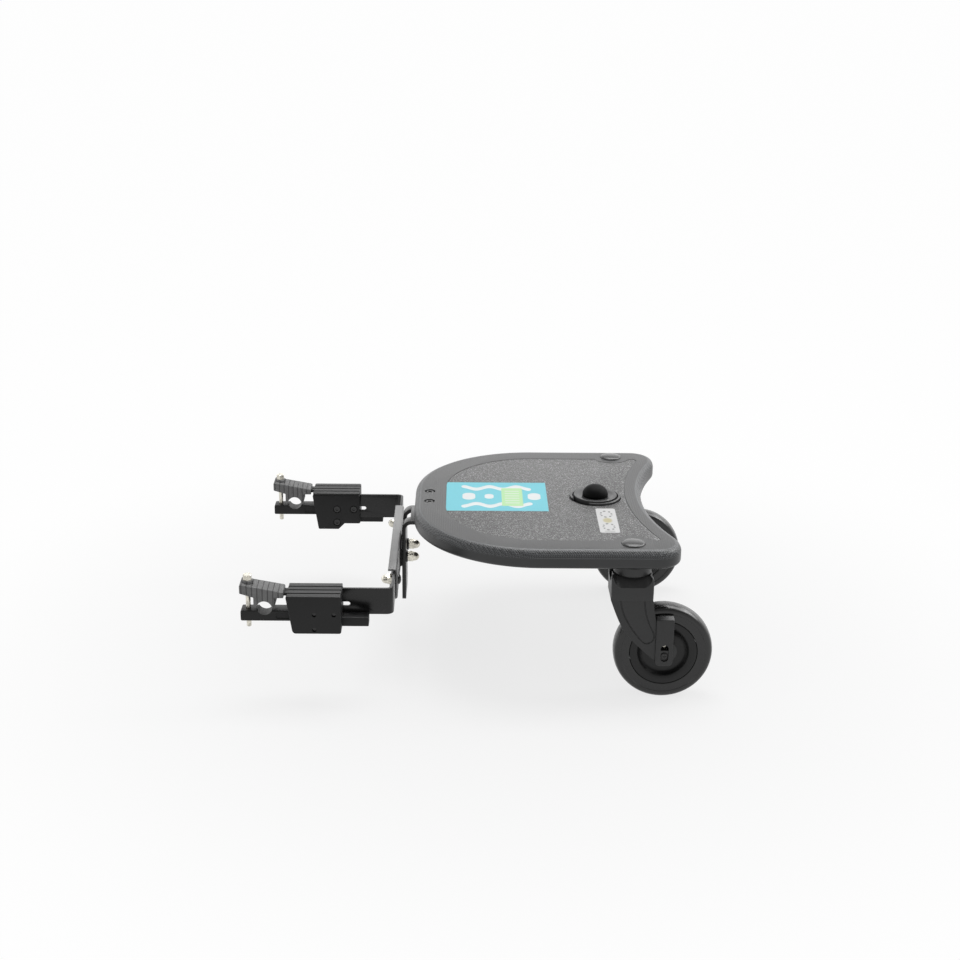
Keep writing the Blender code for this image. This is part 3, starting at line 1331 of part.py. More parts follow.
def build_springs():
    """The springs that press the near wheel's axle down, one in each guide."""
    low = WHEEL_Z + SLIDER_ABOVE + GAP
    high = POCKET_TOP - GAP
    for name, side in (("spring_outer", -1), ("spring_inner", 1)):
        across = (LEG_INNER + POCKET_OUTER) / 2
        centre = (WHEEL_X, -STEM_Y + side * across)
        points = spring_path(centre, low, high)
        print(f"{name}: least gap between curls {coil_gap(points) / MM:.2f} mm")
        curve = bpy.data.curves.new(name, "CURVE")
        curve.dimensions = "3D"
        curve.bevel_depth = SPRING_WIRE
        curve.bevel_resolution = 0
        curve.use_fill_caps = True
        spline = curve.splines.new("POLY")
        spline.points.add(len(points) - 1)
        for place, point in zip(spline.points, points):
            place.co = (*point, 1.0)
        obj = bpy.data.objects.new(name, curve)
        bpy.context.scene.collection.objects.link(obj)
        bm = bmesh.new()
        bm.from_mesh(baked(obj))
        bmesh.ops.remove_doubles(bm, verts=bm.verts, dist=1e-6)
        mesh = from_bmesh(name, bm)
        spring = piece(f"{name}_near", mesh, "zinc", origin=(*centre, high))
        far_side(spring, f"{name}_far")


def build_wheel():
    """The near wheel: rim, tyre, the sprung axle and the screw in its outer end."""
    y = -STEM_Y
    centre = (WHEEL_X, y, WHEEL_Z)
    hub_half = LEG_INNER - 2 * GAP
    half = WHEEL_WIDTH / 2 - RIM_LIP
    web = half - RECESS_DEPTH
    bore = AXLE_SHAFT + RUN
    upper = [
        (bore, hub_half),
        (HUB_RADIUS, hub_half),
        (HUB_RADIUS + EPS, web + EPS),
        (RECESS_RADIUS - 2 * EPS, web),
        (RECESS_RADIUS, half - EPS),
        (RECESS_RADIUS + EPS, half),
        (RIM_RADIUS - GAP, half),
    ]
    profile = upper + [(r, -h) for r, h in reversed(upper)]
    rim = piece("rim_near", turned("rim", profile, "Y", centre, closed=True), "rim", origin=centre)
    far_side(rim, "rim_far")
    edge = WHEEL_WIDTH / 2
    bend = (WHEEL_RADIUS - TYRE_CROWN - TYRE_SHOULDER, edge - TYRE_SHOULDER)
    side = [(RIM_RADIUS, edge - EPS), (RIM_RADIUS + 2 * EPS, edge)]
    side += arc(bend, TYRE_SHOULDER, 90, 0, 4) + [(WHEEL_RADIUS, 0.0)]
    profile = side + [(r, -h) for r, h in reversed(side[:-1])]
    tyre = piece("tyre_near", turned("tyre", profile, "Y", centre, FINE, closed=True), "tyre", origin=centre)
    far_side(tyre, "tyre_far")

    reach = POCKET_OUTER - GAP
    inner = LEG_INNER + GAP
    shaft = rod("axle", (WHEEL_X, y - reach, WHEEL_Z), (WHEEL_X, y + reach, WHEEL_Z), AXLE_SHAFT, SMALL)
    axle = piece("axle_near", shaft, "zinc", origin=centre)
    width = POCKET_HALF_WIDTH - GAP
    for side_name, sign in (("outer", -1), ("inner", 1)):
        near, far = sorted((y + sign * inner, y + sign * (reach - EPS / 5)))
        slider = box(
            f"slider_{side_name}",
            (WHEEL_X - width, near, WHEEL_Z - SLIDER_BELOW),
            (WHEEL_X + width, far, WHEEL_Z + SLIDER_ABOVE),
        )
        join(axle, slider)
    bore_end = y - reach + SCREW_SHANK_LENGTH + EPS
    start, end = (WHEEL_X, y - reach - EPS, WHEEL_Z), (WHEEL_X, bore_end, WHEEL_Z)
    cut(axle, rod("thread", start, end, SCREW_SHANK + GAP, SMALL))
    far_side(axle, "axle_far")
    profile = [
        (0, SCREW_HEAD_TALL),
        (SCREW_HEAD * 0.7, SCREW_HEAD_TALL),
        (SCREW_HEAD, SCREW_HEAD_TALL / 2),
        (SCREW_HEAD, 0),
        (SCREW_SHANK, 0),
        (SCREW_SHANK, -SCREW_SHANK_LENGTH),
        (0, -SCREW_SHANK_LENGTH),
    ]
    seat = (WHEEL_X, y - reach - GAP, WHEEL_Z)
    screw = piece("axle_screw_near", turned("axle_screw", profile, "-Y", seat, SMALL), "zinc", origin=seat)
    far_side(screw, "axle_screw_far")


clear_scene()
PARTS = new_collection("ride_on_board")
CUTTERS = new_collection("cutters", hidden=True)
build_platform()
build_grip_panel()
build_socket()
build_bracket()
build_front_screw()
build_channel()
build_height_bolts()
build_arm()
build_width_bolt()
build_connector()
build_clamp()
build_stem()
build_fork()
build_springs()
build_wheel()
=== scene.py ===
"""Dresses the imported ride-on board: its finished pieces, their finishes, the studio and the camera.

Lengths in the classes are in millimetres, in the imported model's frame: the origin is the middle of the
clamped axle, +X points back towards the casters, +Y to the far side and +Z up.
"""

import logging
import math
from dataclasses import dataclass
from enum import Enum
from typing import Any, Iterable, Mapping, Optional, Sequence, Union

import bpy
from mathutils import Matrix, Vector


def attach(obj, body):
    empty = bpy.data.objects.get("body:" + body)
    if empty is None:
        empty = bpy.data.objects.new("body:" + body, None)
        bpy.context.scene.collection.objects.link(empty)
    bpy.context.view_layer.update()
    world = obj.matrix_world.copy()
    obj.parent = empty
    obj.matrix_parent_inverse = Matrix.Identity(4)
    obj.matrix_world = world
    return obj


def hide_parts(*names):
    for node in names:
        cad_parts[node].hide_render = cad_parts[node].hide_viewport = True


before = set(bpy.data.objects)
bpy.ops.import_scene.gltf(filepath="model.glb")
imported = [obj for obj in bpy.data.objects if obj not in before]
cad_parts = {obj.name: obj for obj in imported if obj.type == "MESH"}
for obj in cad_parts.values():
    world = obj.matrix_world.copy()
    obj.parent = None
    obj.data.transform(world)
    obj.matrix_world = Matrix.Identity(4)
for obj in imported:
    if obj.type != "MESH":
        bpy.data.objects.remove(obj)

logging.basicConfig(level=logging.INFO, format="%(name)s: %(message)s")
LOG = logging.getLogger("ride_on_board")

MM = 0.001
SMOOTH_ANGLE = 32.0
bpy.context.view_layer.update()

# Sizes and places that several sub-assemblies share
GAP = 0.3
DECK_TOP = 76.3
DECK_BOTTOM = 51.9
BRACKET_THICK = 5.0
SOCKET_X = 420.3
SOCKET_RADIUS = 33.4
STEM_X = 455.0
STEM_Y = 166.5
STEM_BORE = 6.3
SCREW_X = 199.9
SCREW_Y = 19.0
SCREW_BORE = 3.3
BOLT_BORE = 4.2
NUT_CORNER = 5.77
KEY_CORNER = 2.9

Piece = bpy.types.Object
Material = bpy.types.Material
Point = tuple[float, float]
Point3 = tuple[float, float, float]
Tint = tuple[float, float, float]
Colour = tuple[float, float, float, float]
Number = Union[float, int, "Signal"]


class Side(Enum):
    """The two sides of the board, with the sign of their Y."""

    NEAR = -1
    FAR = 1

    @property
    def word(self) -> str:
        """The side's name in node and body names."""
        return self.name.lower()


class Facing(Enum):
    """The axis that an outline faces, and that a turned piece is turned about."""

    X = (1.0, 0.0, 0.0)
    Y = (0.0, 1.0, 0.0)
    Z = (0.0, 0.0, 1.0)

    def place(self, a: float, b: float, level: float) -> Vector:
        """Puts a drawn point into space.

        Args:
            a: first coordinate of the drawing: Y for X, and X for Y and Z.
            b: second coordinate of the drawing: Z for X and Y, and Y for Z.
            level: coordinate along the facing axis.

        Returns:
            The point in metres.
        """
        points = {"X": (level, a, b), "Y": (a, level, b), "Z": (a, b, level)}
        return Vector(points[self.name]) * MM


class Draw:
    """Outlines in the plane, as lists of points."""

    @staticmethod
    def arc(
        centre: Point, radius: float, start: float, end: float, count: int, squash: float = 1.0
    ) -> list[Point]:
        """Points along an arc.

        Args:
            centre: the arc's centre.
            radius: its radius along the first axis.
            start: first angle, in degrees.
            end: last angle, in degrees.
            count: number of steps.
            squash: radius along the second axis, as a share of the first.

        Returns:
            count + 1 points.
        """
        points = []
        for i in range(count + 1):
            angle = math.radians(start + (end - start) * i / count)
            a, b = radius * math.cos(angle), radius * squash * math.sin(angle)
            points.append((centre[0] + a, centre[1] + b))
        return points

    @staticmethod
    def hexagon(centre: Point, corner: float, first: float = 0.0) -> list[Point]:
        """A hexagon, by its corners' distance from the centre and the first one's angle in degrees."""
        return Draw.arc(centre, corner, first, first + 300, 5)

    @staticmethod
    def rounded(corners: Sequence[Sequence[float]], count: int = 6) -> list[Point]:
        """A polygon with rounded corners.

        Args:
            corners: corners as (a, b, radius).
            count: steps in each rounded corner.

        Returns:
            The outline's points.
        """
        points: list[Point] = []
        for i, (a, b, radius) in enumerate(corners):
            here = Vector((a, b))
            before, after = Vector(corners[i - 1][:2]), Vector(corners[(i + 1) % len(corners)][:2])
            if radius <= 0:
                points.append((a, b))
                continue
            back, on = (before - here).normalized(), (after - here).normalized()
            half = back.angle(on) / 2
            middle = here + (back + on).normalized() * (radius / math.sin(half))
            reach = radius / math.tan(half)
            start, end = here + back * reach - middle, here + on * reach - middle
            first = math.atan2(start.y, start.x)
            sweep = (math.atan2(end.y, end.x) - first + math.pi) % (2 * math.pi) - math.pi
            for k in range(count + 1):
                angle = first + sweep * k / count
                points.append((middle.x + radius * math.cos(angle), middle.y + radius * math.sin(angle)))
        return points

    @staticmethod
    def rectangle(low: Point, high: Point, radius: float = 0.0) -> list[Point]:
        """A rectangle between two opposite corners, each rounded by a radius."""
        (a, b), (c, d) = low, high
        return Draw.rounded([(a, b, radius), (c, b, radius), (c, d, radius), (a, d, radius)])

    @staticmethod
    def stadium(a: Point, b: Point, radius: float, count: int = 12) -> list[Point]:
        """A slot's outline: two half circles round two points.

        Args:
            a: the first half circle's centre.
            b: the other one's centre.
            radius: their radius.
            count: steps in each half circle.

        Returns:
            The outline's points.
        """
        heading = math.degrees(math.atan2(b[1] - a[1], b[0] - a[0]))
        last = Draw.arc(b, radius, heading - 90, heading + 90, count)
        return last + Draw.arc(a, radius, heading + 90, heading + 270, count)

    @staticmethod
    def mirrored(half: Sequence[Point]) -> list[Point]:
        """Closes half an outline with its mirror image across the first axis."""
        return list(half) + [(x, -y) for x, y in reversed(half) if y > 1e-4]

    @staticmethod
    def spline(points: Sequence[Point3], steps: int = 6) -> list[Vector]:
        """A smooth path through points.

        Args:
            points: what the path passes, in millimetres.
            steps: points on the path for each stretch.

        Returns:
            The path's points in metres.
        """
        ends = [Vector(p) for p in (points[0], *points, points[-1])]
        path = []
        for a, b, c, d in zip(ends, ends[1:], ends[2:], ends[3:]):
            for k in range(steps):
                t = k / steps
                square = (2 * a - 5 * b + 4 * c - d) * t**2
                path.append((2 * b + (c - a) * t + square + (3 * b - a - 3 * c + d) * t**3) / 2)
        path.append(ends[-1])
        return [p * MM for p in path]

    @staticmethod
    def curve(points: Sequence[Point], steps: int) -> list[Point]:
        """A smooth curve through drawn points."""
        return [(p.x / MM, p.z / MM) for p in Draw.spline([(a, 0.0, b) for a, b in points], steps)]


class Bench:
    """Modelling operators, each used on one object at a time."""

    @staticmethod
    def free() -> None:
        """Leaves edit mode and deselects everything."""
        if bpy.context.mode != "OBJECT":
            bpy.ops.object.mode_set(mode="OBJECT")
        bpy.ops.object.select_all(action="DESELECT")

    @staticmethod
    def take(obj: Piece) -> None:
        """Selects one object alone and makes it active.

        Args:
            obj: the object.
        """
        Bench.free()
        obj.select_set(True)
        bpy.context.view_layer.objects.active = obj

    @staticmethod
    def edit(obj: Piece) -> None:
        """Opens an object in edit mode with all of it selected.

        Args:
            obj: the object.
        """
        Bench.take(obj)
        bpy.ops.object.mode_set(mode="EDIT")
        bpy.ops.mesh.select_all(action="SELECT")

    @staticmethod
    def close(merge: bool = True) -> None:
        """Merges doubles, turns faces outwards and leaves edit mode.

        Args:
            merge: whether doubles are merged first.
        """
        bpy.ops.mesh.select_all(action="SELECT")
        if merge:
            bpy.ops.mesh.remove_doubles(threshold=2e-6)
            bpy.ops.mesh.delete_loose()
            bpy.ops.mesh.select_all(action="SELECT")
        bpy.ops.mesh.normals_make_consistent(inside=False)
        bpy.ops.object.mode_set(mode="OBJECT")

    @staticmethod
    def loop(name: str, points: Sequence[Vector], filled: bool) -> Piece:
        """A closed loop through points in metres, started from a circle.

        Args:
            name: the new object's name.
            points: the loop's points.
            filled: whether the loop holds a face.

        Returns:
            The new object.
        """
        Bench.free()
        fill = "NGON" if filled else "NOTHING"
        bpy.ops.mesh.primitive_circle_add(vertices=len(points), radius=MM, fill_type=fill, location=(0, 0, 0))
        obj = bpy.context.active_object
        obj.name = obj.data.name = name
        for vertex, point in zip(obj.data.vertices, points):
            vertex.co = point
        return obj

    @staticmethod
    def prism(
        name: str, outline: Sequence[Point], facing: Facing, start: float, end: float
    ) -> Piece:
        """An outline extruded along an axis.

        Args:
            name: the new object's name.
            outline: the drawn outline, in millimetres.
            facing: the axis that it faces.
            start: one end on that axis.
            end: the other end.

        Returns:
            The closed solid.
        """
        low, high = sorted((start, end))
        obj = Bench.loop(name, [facing.place(a, b, low) for a, b in outline], True)
        Bench.edit(obj)
        shift = facing.place(0.0, 0.0, high - low)
        bpy.ops.mesh.extrude_region_move(TRANSFORM_OT_translate={"value": shift})
        Bench.close(merge=False)
        return obj

    @staticmethod
    def block(name: str, low: Point3, high: Point3) -> Piece:
        """A box between two opposite corners."""
        return Bench.prism(name, Draw.rectangle(low[:2], high[:2]), Facing.Z, low[2], high[2])

    @staticmethod
    def turned(
        name: str, profile: Sequence[Point], facing: Facing, centre: Point3, steps: int = 96
    ) -> Piece:
        """A closed profile spun about an axis.

        Args:
            name: the new object's name.
            profile: points as (radius, height along the axis), in millimetres.
            facing: the axis.
            centre: a point on the axis, where the height is 0.
            steps: number of steps round the axis.

        Returns:
            The closed solid.
        """
        middle = Vector(centre) * MM
        across = {"X": (0, 0, 1), "Y": (1, 0, 0), "Z": (1, 0, 0)}[facing.name]
        out, along = Vector(across), Vector(facing.value)
        points = [middle + out * (r * MM) + along * (h * MM) for r, h in profile]
        obj = Bench.loop(name, points, False)
        Bench.edit(obj)
        bpy.ops.mesh.spin(steps=steps, angle=2 * math.pi, center=middle, axis=facing.value)
        Bench.close()
        return obj

    @staticmethod
    def rod(
        name: str, facing: Facing, start: Point3, length: float, radius: float, steps: int = 48
    ) -> Piece:
        """A round bar from a point, along an axis."""
        profile = [(0.0, 0.0), (radius, 0.0), (radius, length), (0.0, length)]
        return Bench.turned(name, profile, facing, start, steps)

    @staticmethod
    def apply(obj: Piece, kind: str, **settings: Any) -> None:
        """Adds a modifier with its settings and applies it.

        Args:
            obj: the object.
            kind: the modifier's type.
            settings: its properties.
        """
        modifier = obj.modifiers.new(kind.lower(), kind)
        for key, value in settings.items():
            setattr(modifier, key, value)
        Bench.take(obj)
        bpy.ops.object.modifier_apply(modifier=modifier.name)

    @staticmethod
    def combine(obj: Piece, operation: str, others: Iterable[Piece]) -> None:
        """Joins other solids to an object or cuts them from it, and removes them.

        Args:
            obj: the object.
            operation: the Boolean modifier's operation.
            others: the other solids.
        """
        for other in others:
            Bench.apply(obj, "BOOLEAN", operation=operation, solver="EXACT", object=other)
            bpy.data.objects.remove(other, do_unlink=True)

    @staticmethod
    def carve(obj: Piece, *cutters: Piece) -> None:
        """Cuts solids from an object."""
        Bench.combine(obj, "DIFFERENCE", cutters)

    @staticmethod
    def drill(
        obj: Piece, facing: Facing, start: Point3, length: float, radius: float, steps: int = 48
    ) -> None:
        """Cuts a round hole, from a point along an axis."""
        Bench.carve(obj, Bench.rod("drill", facing, start, length, radius, steps))

    @staticmethod
    def punch(
        obj: Piece, outline: Sequence[Point], facing: Facing, start: float, end: float
    ) -> None:
        """Cuts a drawn outline, from one level to another."""
        Bench.carve(obj, Bench.prism("punch", outline, facing, start, end))

    @staticmethod
    def fuse(obj: Piece, *others: Piece) -> None:
        """Joins solids to an object."""
        Bench.combine(obj, "UNION", others)

    @staticmethod
    def round_edges(obj: Piece, width: float, segments: int = 3, angle: float = 40.0) -> None:
        """Rounds the edges that are sharper than an angle.

        Args:
            obj: the object.
            width: the bevel's width in millimetres.
            segments: steps across the bevel.
            angle: least angle in degrees between an edge's faces.
        """
        Bench.apply(
            obj,
            "BEVEL",
            width=width * MM,
            segments=segments,
            limit_method="ANGLE",
            angle_limit=math.radians(angle),
            use_clamp_overlap=True,
        )

    @staticmethod
    def round_level(obj: Piece, level: float, width: float, segments: int) -> None:
        """Rounds the edges that lie at one height.

        Args:
            obj: the object.
            level: the edges' Z in millimetres.
            width: the bevel's width in millimetres.
            segments: steps across the bevel.
        """
        Bench.edit(obj)
        bpy.ops.mesh.select_all(action="DESELECT")
        bpy.ops.object.mode_set(mode="OBJECT")
        for edge in obj.data.edges:
            edge.select = all(abs(obj.data.vertices[i].co.z - level * MM) < 1e-6 for i in edge.vertices)
        bpy.ops.object.mode_set(mode="EDIT")
        bpy.ops.mesh.bevel(offset=width * MM, segments=segments, profile=0.5, affect="EDGES")
        bpy.ops.object.mode_set(mode="OBJECT")

    @staticmethod
    def tilt(obj: Piece, angle: float, facing: Facing, centre: Point3) -> None:
        """Turns a mesh in its object.

        Args:
            obj: the object.
            angle: the turn in degrees, anticlockwise as seen from the axis's far end.
            facing: the axis.
            centre: a point on the axis, in millimetres.
        """
        Bench.edit(obj)
        bpy.ops.transform.rotate(
            value=-math.radians(angle), orient_axis=facing.name, center_override=Vector(centre) * MM
        )
        bpy.ops.object.mode_set(mode="OBJECT")

    @staticmethod
    def tube(name: str, path: Sequence[Vector], radius: float) -> Piece:
        """A round tube along a path in metres, made a mesh.

        Args:
            name: the new object's name.
            path: the points that it runs through.
            radius: its radius in millimetres.

        Returns:
            The closed tube.
        """
        Bench.free()
        curve = bpy.data.curves.new(name, "CURVE")
        curve.dimensions = "3D"
        curve.bevel_depth = radius * MM
        curve.bevel_resolution = 3
        curve.use_fill_caps = True
        spline = curve.splines.new("POLY")
        spline.points.add(len(path) - 1)
        for place, point in zip(spline.points, path):
            place.co = (*point, 1.0)
        obj = bpy.data.objects.new(name, curve)
        bpy.context.scene.collection.objects.link(obj)
        Bench.take(obj)
        bpy.ops.object.convert(target="MESH")
        obj = bpy.context.active_object
        Bench.edit(obj)
        Bench.close()
        return obj

    @staticmethod
    def twin(obj: Piece, name: str, plane: float = 0.0) -> Piece:
        """The mirror image of an object, with a mesh of its own.

        Args:
            obj: the object.
            name: the mirror image's name.
            plane: Y of the mirror, in millimetres.

        Returns:
            The mirror image.
        """
        Bench.take(obj)
        bpy.ops.object.duplicate(linked=False)
        copy = bpy.context.active_object
        copy.name = copy.data.name = name
        copy.scale = (1.0, -1.0, 1.0)
        copy.location = (0.0, 2 * plane * MM, 0.0)
        bpy.ops.object.transform_apply(location=True, rotation=False, scale=True)
        Bench.edit(copy)
        Bench.close(merge=False)
        return copy

    @staticmethod
    def hand_over(
        obj: Piece,
        body: str,
        finish: Material,
        slot: str,
        *nodes: str,
    ) -> None:
        """Smooths a finished piece, gives it its finish and makes it ride on its body.

        Args:
            obj: the finished piece.
            body: the body that it rides on.
            finish: its material.
            slot: the record's material slot; not used.
            nodes: the CAD nodes that it stands for.
        """
        Bench.take(obj)
        bpy.ops.object.shade_smooth_by_angle(angle=math.radians(SMOOTH_ANGLE))
        obj.data.materials.clear()
        obj.data.materials.append(finish)
        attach(obj, body)
        if nodes:
            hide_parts(*nodes)
        LOG.info("%s rides on %s", obj.name, body)
        Bench.free()

    @staticmethod
    def hand_over_pair(
        near: Piece,
        stem: str,
        body: str,
        finish: Material,
        slot: str,
        node: str,
    ) -> None:
        """Hands over a near piece and its mirror image on the far side.

        Args:
            near: the near piece.
            stem: the pieces' name without their side.
            body: the bodies' name, with a brace pair where the side goes.
            finish: their material.
            slot: the record's material slot.
            node: the nodes that they stand for, without their side.
        """
        near.name = near.data.name = f"{stem}_{Side.NEAR.word}"
        far = Bench.twin(near, f"{stem}_{Side.FAR.word}")
        for side, obj in ((Side.NEAR, near), (Side.FAR, far)):
            Bench.hand_over(obj, body.format(side.word), finish, slot, f"{node}_{side.word}")


@dataclass(frozen=True)
class Signal:
    """A number that flows between nodes; its operators add Math nodes."""

    sheet: "Sheet"
    socket: bpy.types.NodeSocket

    def math(self, operation: str, *operands: Number) -> "Signal":
        """A Math node with this signal first.

        Args:
            operation: the Math node's operation.
            operands: the other inputs.

        Returns:
            The result.
        """
        values = dict(enumerate((self, *operands)))
        return self.sheet.node("ShaderNodeMath", {"operation": operation}, values)

    def __add__(self, other: Number) -> "Signal":
        """Sum."""
        return self.math("ADD", other)

    __radd__ = __add__

    def __mul__(self, other: Number) -> "Signal":
        """Product."""
        return self.math("MULTIPLY", other)

    __rmul__ = __mul__

    def __sub__(self, other: Number) -> "Signal":
        """Difference."""
        return self.math("SUBTRACT", other)

    def __rsub__(self, other: Number) -> "Signal":
        """Difference from another number."""
        return self.math("MULTIPLY", -1.0) + other

    def __abs__(self) -> "Signal":
        """Distance from 0."""
        return self.math("ABSOLUTE")

    def ramp(self, low: float, high: float, start: float = 0.0, end: float = 1.0) -> "Signal":
        """A smooth step from start to end as this signal goes from low to high.

        Args:
            low: where the step starts.
            high: where it ends.
            start: the result up to low.
            end: the result from high on.

        Returns:
            The result.
        """
        settings = {"interpolation_type": "SMOOTHSTEP"}
        values = {"Value": self, "From Min": low, "From Max": high, "To Min": start, "To Max": end}
        return self.sheet.node("ShaderNodeMapRange", settings, values)


class Sheet:
    """The node sheet of one material, or of the world."""

    def __init__(self, name: str, world: bool = False) -> None:
        """Starts an empty sheet.

        Args:
            name: the new material's or world's name.
            world: whether it is for the world.
        """
        kind = bpy.data.worlds if world else bpy.data.materials
        self.material = kind.new(name)
        self.material.use_nodes = True
        self.material.node_tree.nodes.clear()
        self.ending = "ShaderNodeOutputWorld" if world else "ShaderNodeOutputMaterial"

    def node(
        self,
        kind: str,
        settings: Optional[Mapping[str, Any]] = None,
        values: Optional[Mapping[Any, Any]] = None,
        output: Union[int, str] = 0,
    ) -> Signal:
        """Adds a node.

        Args:
            kind: the node's type.
            settings: its properties, set before its sockets.
            values: numbers, colours or signals for its inputs.
            output: which of its outputs to use.

        Returns:
            That output.
        """
        made = self.material.node_tree.nodes.new(kind)
        for key, value in (settings or {}).items():
            setattr(made, key, value)
        for key, value in (values or {}).items():
            if isinstance(value, Signal):
                self.material.node_tree.links.new(value.socket, made.inputs[key])
            else:
                made.inputs[key].default_value = value
        return Signal(self, made.outputs[output])

    def coords(self) -> Signal:
        """Object coordinates, in metres."""
        return self.node("ShaderNodeTexCoord", output="Object")

    def split(self, vector: Signal) -> tuple[Signal, Signal, Signal]:
        """The three parts of a vector, in millimetres.

        Args:
            vector: the vector, in metres.

        Returns:
            Its X, Y and Z.
        """
        made = self.node("ShaderNodeSeparateXYZ", None, {0: vector})
        sockets = made.socket.node.outputs
        return tuple(Signal(self, socket) * (1 / MM) for socket in sockets)

    def noise(self, size: float, detail: float = 2.0, rough: float = 0.5) -> Signal:
        """Noise from 0 to 1 with features of a size in millimetres."""
        values = {"Vector": self.coords(), "Scale": 1 / (size * MM), "Detail": detail, "Roughness": rough}
        return self.node("ShaderNodeTexNoise", {"noise_dimensions": "3D"}, values, "Fac")

    def cells(self, size: float, output: str = "Distance") -> Signal:
        """Cells of a size in millimetres: the distance to each one's middle, or its random colour."""
        values = {"Vector": self.coords(), "Scale": 1 / (size * MM)}
        return self.node("ShaderNodeTexVoronoi", {"feature": "F1"}, values, output)

    def mix(self, share: Number, low: Any, high: Any) -> Signal:
        """A colour between two others.

        Args:
            share: the second colour's share.
            low: the first colour.
            high: the second colour.

        Returns:
            The mixed colour.
        """
        settings = {"data_type": "RGBA", "blend_type": "MIX", "clamp_factor": True}
        made = self.node("ShaderNodeMix", settings, {0: share, 6: low, 7: high})
        return Signal(self, made.socket.node.outputs[2])

    def bump(self, height: Signal, depth: float, normal: Optional[Signal] = None) -> Signal:
        """A normal for a height from 0 to 1 that is so many millimetres deep.

        Args:
            height: the height.
            depth: the depth.
            normal: a normal to start from.

        Returns:
            The normal.
        """
        values: dict[str, Any] = {"Height": height, "Distance": depth * MM, "Strength": 1.0}
        if normal:
            values["Normal"] = normal
        return self.node("ShaderNodeBump", None, values)

    def worn(self, low: float = 0.5, high: float = 0.62) -> Signal:
        """How far a point lies on a convex edge, from 0 to 1, for worn edges and for painted edge highlights.
        """
        return self.node("ShaderNodeNewGeometry", output="Pointiness").ramp(low, high)

    def principled(self, **values: Any) -> Material:
        """Ends the sheet in a Principled shader.

        Args:
            values: its inputs, with underscores in place of spaces.

        Returns:
            The material.
        """
        inputs = {key.replace("_", " "): value for key, value in values.items()}
        shader = self.node("ShaderNodeBsdfPrincipled", None, inputs)
        self.node_out(shader)
        return self.material

    def node_out(self, shader: Signal) -> None:
        """Links a shader to the sheet's output."""
        made = self.material.node_tree.nodes.new(self.ending)
        self.material.node_tree.links.new(shader.socket, made.inputs["Surface"])


def grey(level: float, warmth: float = 0.0) -> Colour:
    """A near-neutral colour."""
    return (level * (1 + warmth), level, level * (1 - warmth), 1.0)


def paint(tint: Tint, share: float = 1.0) -> Colour:
    """A tint at a share of its level."""
    return (*(part * share for part in tint), 1.0)


@dataclass(frozen=True)
class MouldedPlastic:
    """Grained moulded plastic, a little mottled, with a painted highlight along its convex edges."""

    name: str
    level: float
    roughness: float = 0.5
    grain: float = 0.8
    depth: float = 0.05
    edge: float = 1.6
    specular: float = 0.5

    def make(self) -> Material:
        """Builds the material.

        Returns:
            The material.
        """
        sheet = Sheet(self.name)
        broad = sheet.noise(45.0, 3.0)
        fine = sheet.cells(self.grain)
        tone = sheet.mix(broad.ramp(0.3, 0.7), grey(self.level * 0.88, -0.02), grey(self.level * 1.12, -0.02))
        tone = sheet.mix(fine.ramp(0.2, 0.75) * 0.35, tone, grey(self.level * 0.55))
        # Painted highlight: convex edges are painted paler.
        tone = sheet.mix(sheet.worn() * 0.5, tone, grey(self.level * self.edge))
        return sheet.principled(
            Base_Color=tone,
            Roughness=broad * 0.1 + fine * 0.08 + (self.roughness - 0.08),
            Specular_IOR_Level=self.specular,
            Normal=sheet.bump(1 - fine, self.depth),
        )


@dataclass(frozen=True)
class WovenPlastic:
    """The deck's plastic: a fine woven grain above, which fades out down its sides, and painted highlights on
    its edges and upper sides.
    """

    name: str
    top: float
    level: float = 0.022
    roughness: float = 0.36
    pitch: float = 2.9
    fade: float = 11.0
    depth: float = 0.3

    def make(self) -> Material:
        """Builds the material.

        Returns:
            The material.
        """
        sheet = Sheet(self.name)
        x, y, z = (part * (2 * math.pi / self.pitch) for part in sheet.split(sheet.coords()))
        weave = x.math("SINE") * y.math("COSINE")
        for first, second in ((y, z), (z, x)):
            weave = weave + first.math("SINE") * second.math("COSINE")
        height = sheet.split(sheet.coords())[2]
        grained = height.ramp(self.top - self.fade - 2.0, self.top - self.fade + 2.0)
        knots = weave.ramp(-0.9, 0.9) * grained
        round_over = height.ramp(self.top - 0.4, self.top - 1.2) * grained
        broad = sheet.noise(60.0, 3.0)
        fine = sheet.noise(0.9, 3.0, 0.6)
        tone = sheet.mix(broad.ramp(0.3, 0.7), grey(self.level * 0.85, -0.03), grey(self.level * 1.15, -0.03))
        # Painted highlight: the grain on the upper sides is painted pale where light catches it; the grain
        # pattern itself is real.
        tone = sheet.mix(knots * round_over * 0.9, tone, grey(self.level * 4.2, -0.05))
        # Painted highlight: a pale line along the start of the top edge's rounding.
        line = height.ramp(self.top - 0.25, self.top - 0.05, 1.0, 0.0)
        line = line * height.ramp(self.top - 0.9, self.top - 0.5)
        tone = sheet.mix(line * 0.8, tone, grey(self.level * 4.0, -0.05))
        tone = sheet.mix(fine.ramp(0.5, 0.8) * 0.4, tone, grey(self.level * 1.8))
        # Painted highlight: convex edges are painted paler.
        tone = sheet.mix(sheet.worn() * 0.4, tone, grey(self.level * 2.0))
        grain = sheet.bump(knots * (round_over * 0.75 + 0.25), self.depth)
        return sheet.principled(
            Base_Color=tone,
            Roughness=broad * 0.08 + fine * 0.1 + (self.roughness - 0.09),
            Normal=sheet.bump(fine, 0.03, grain),
        )


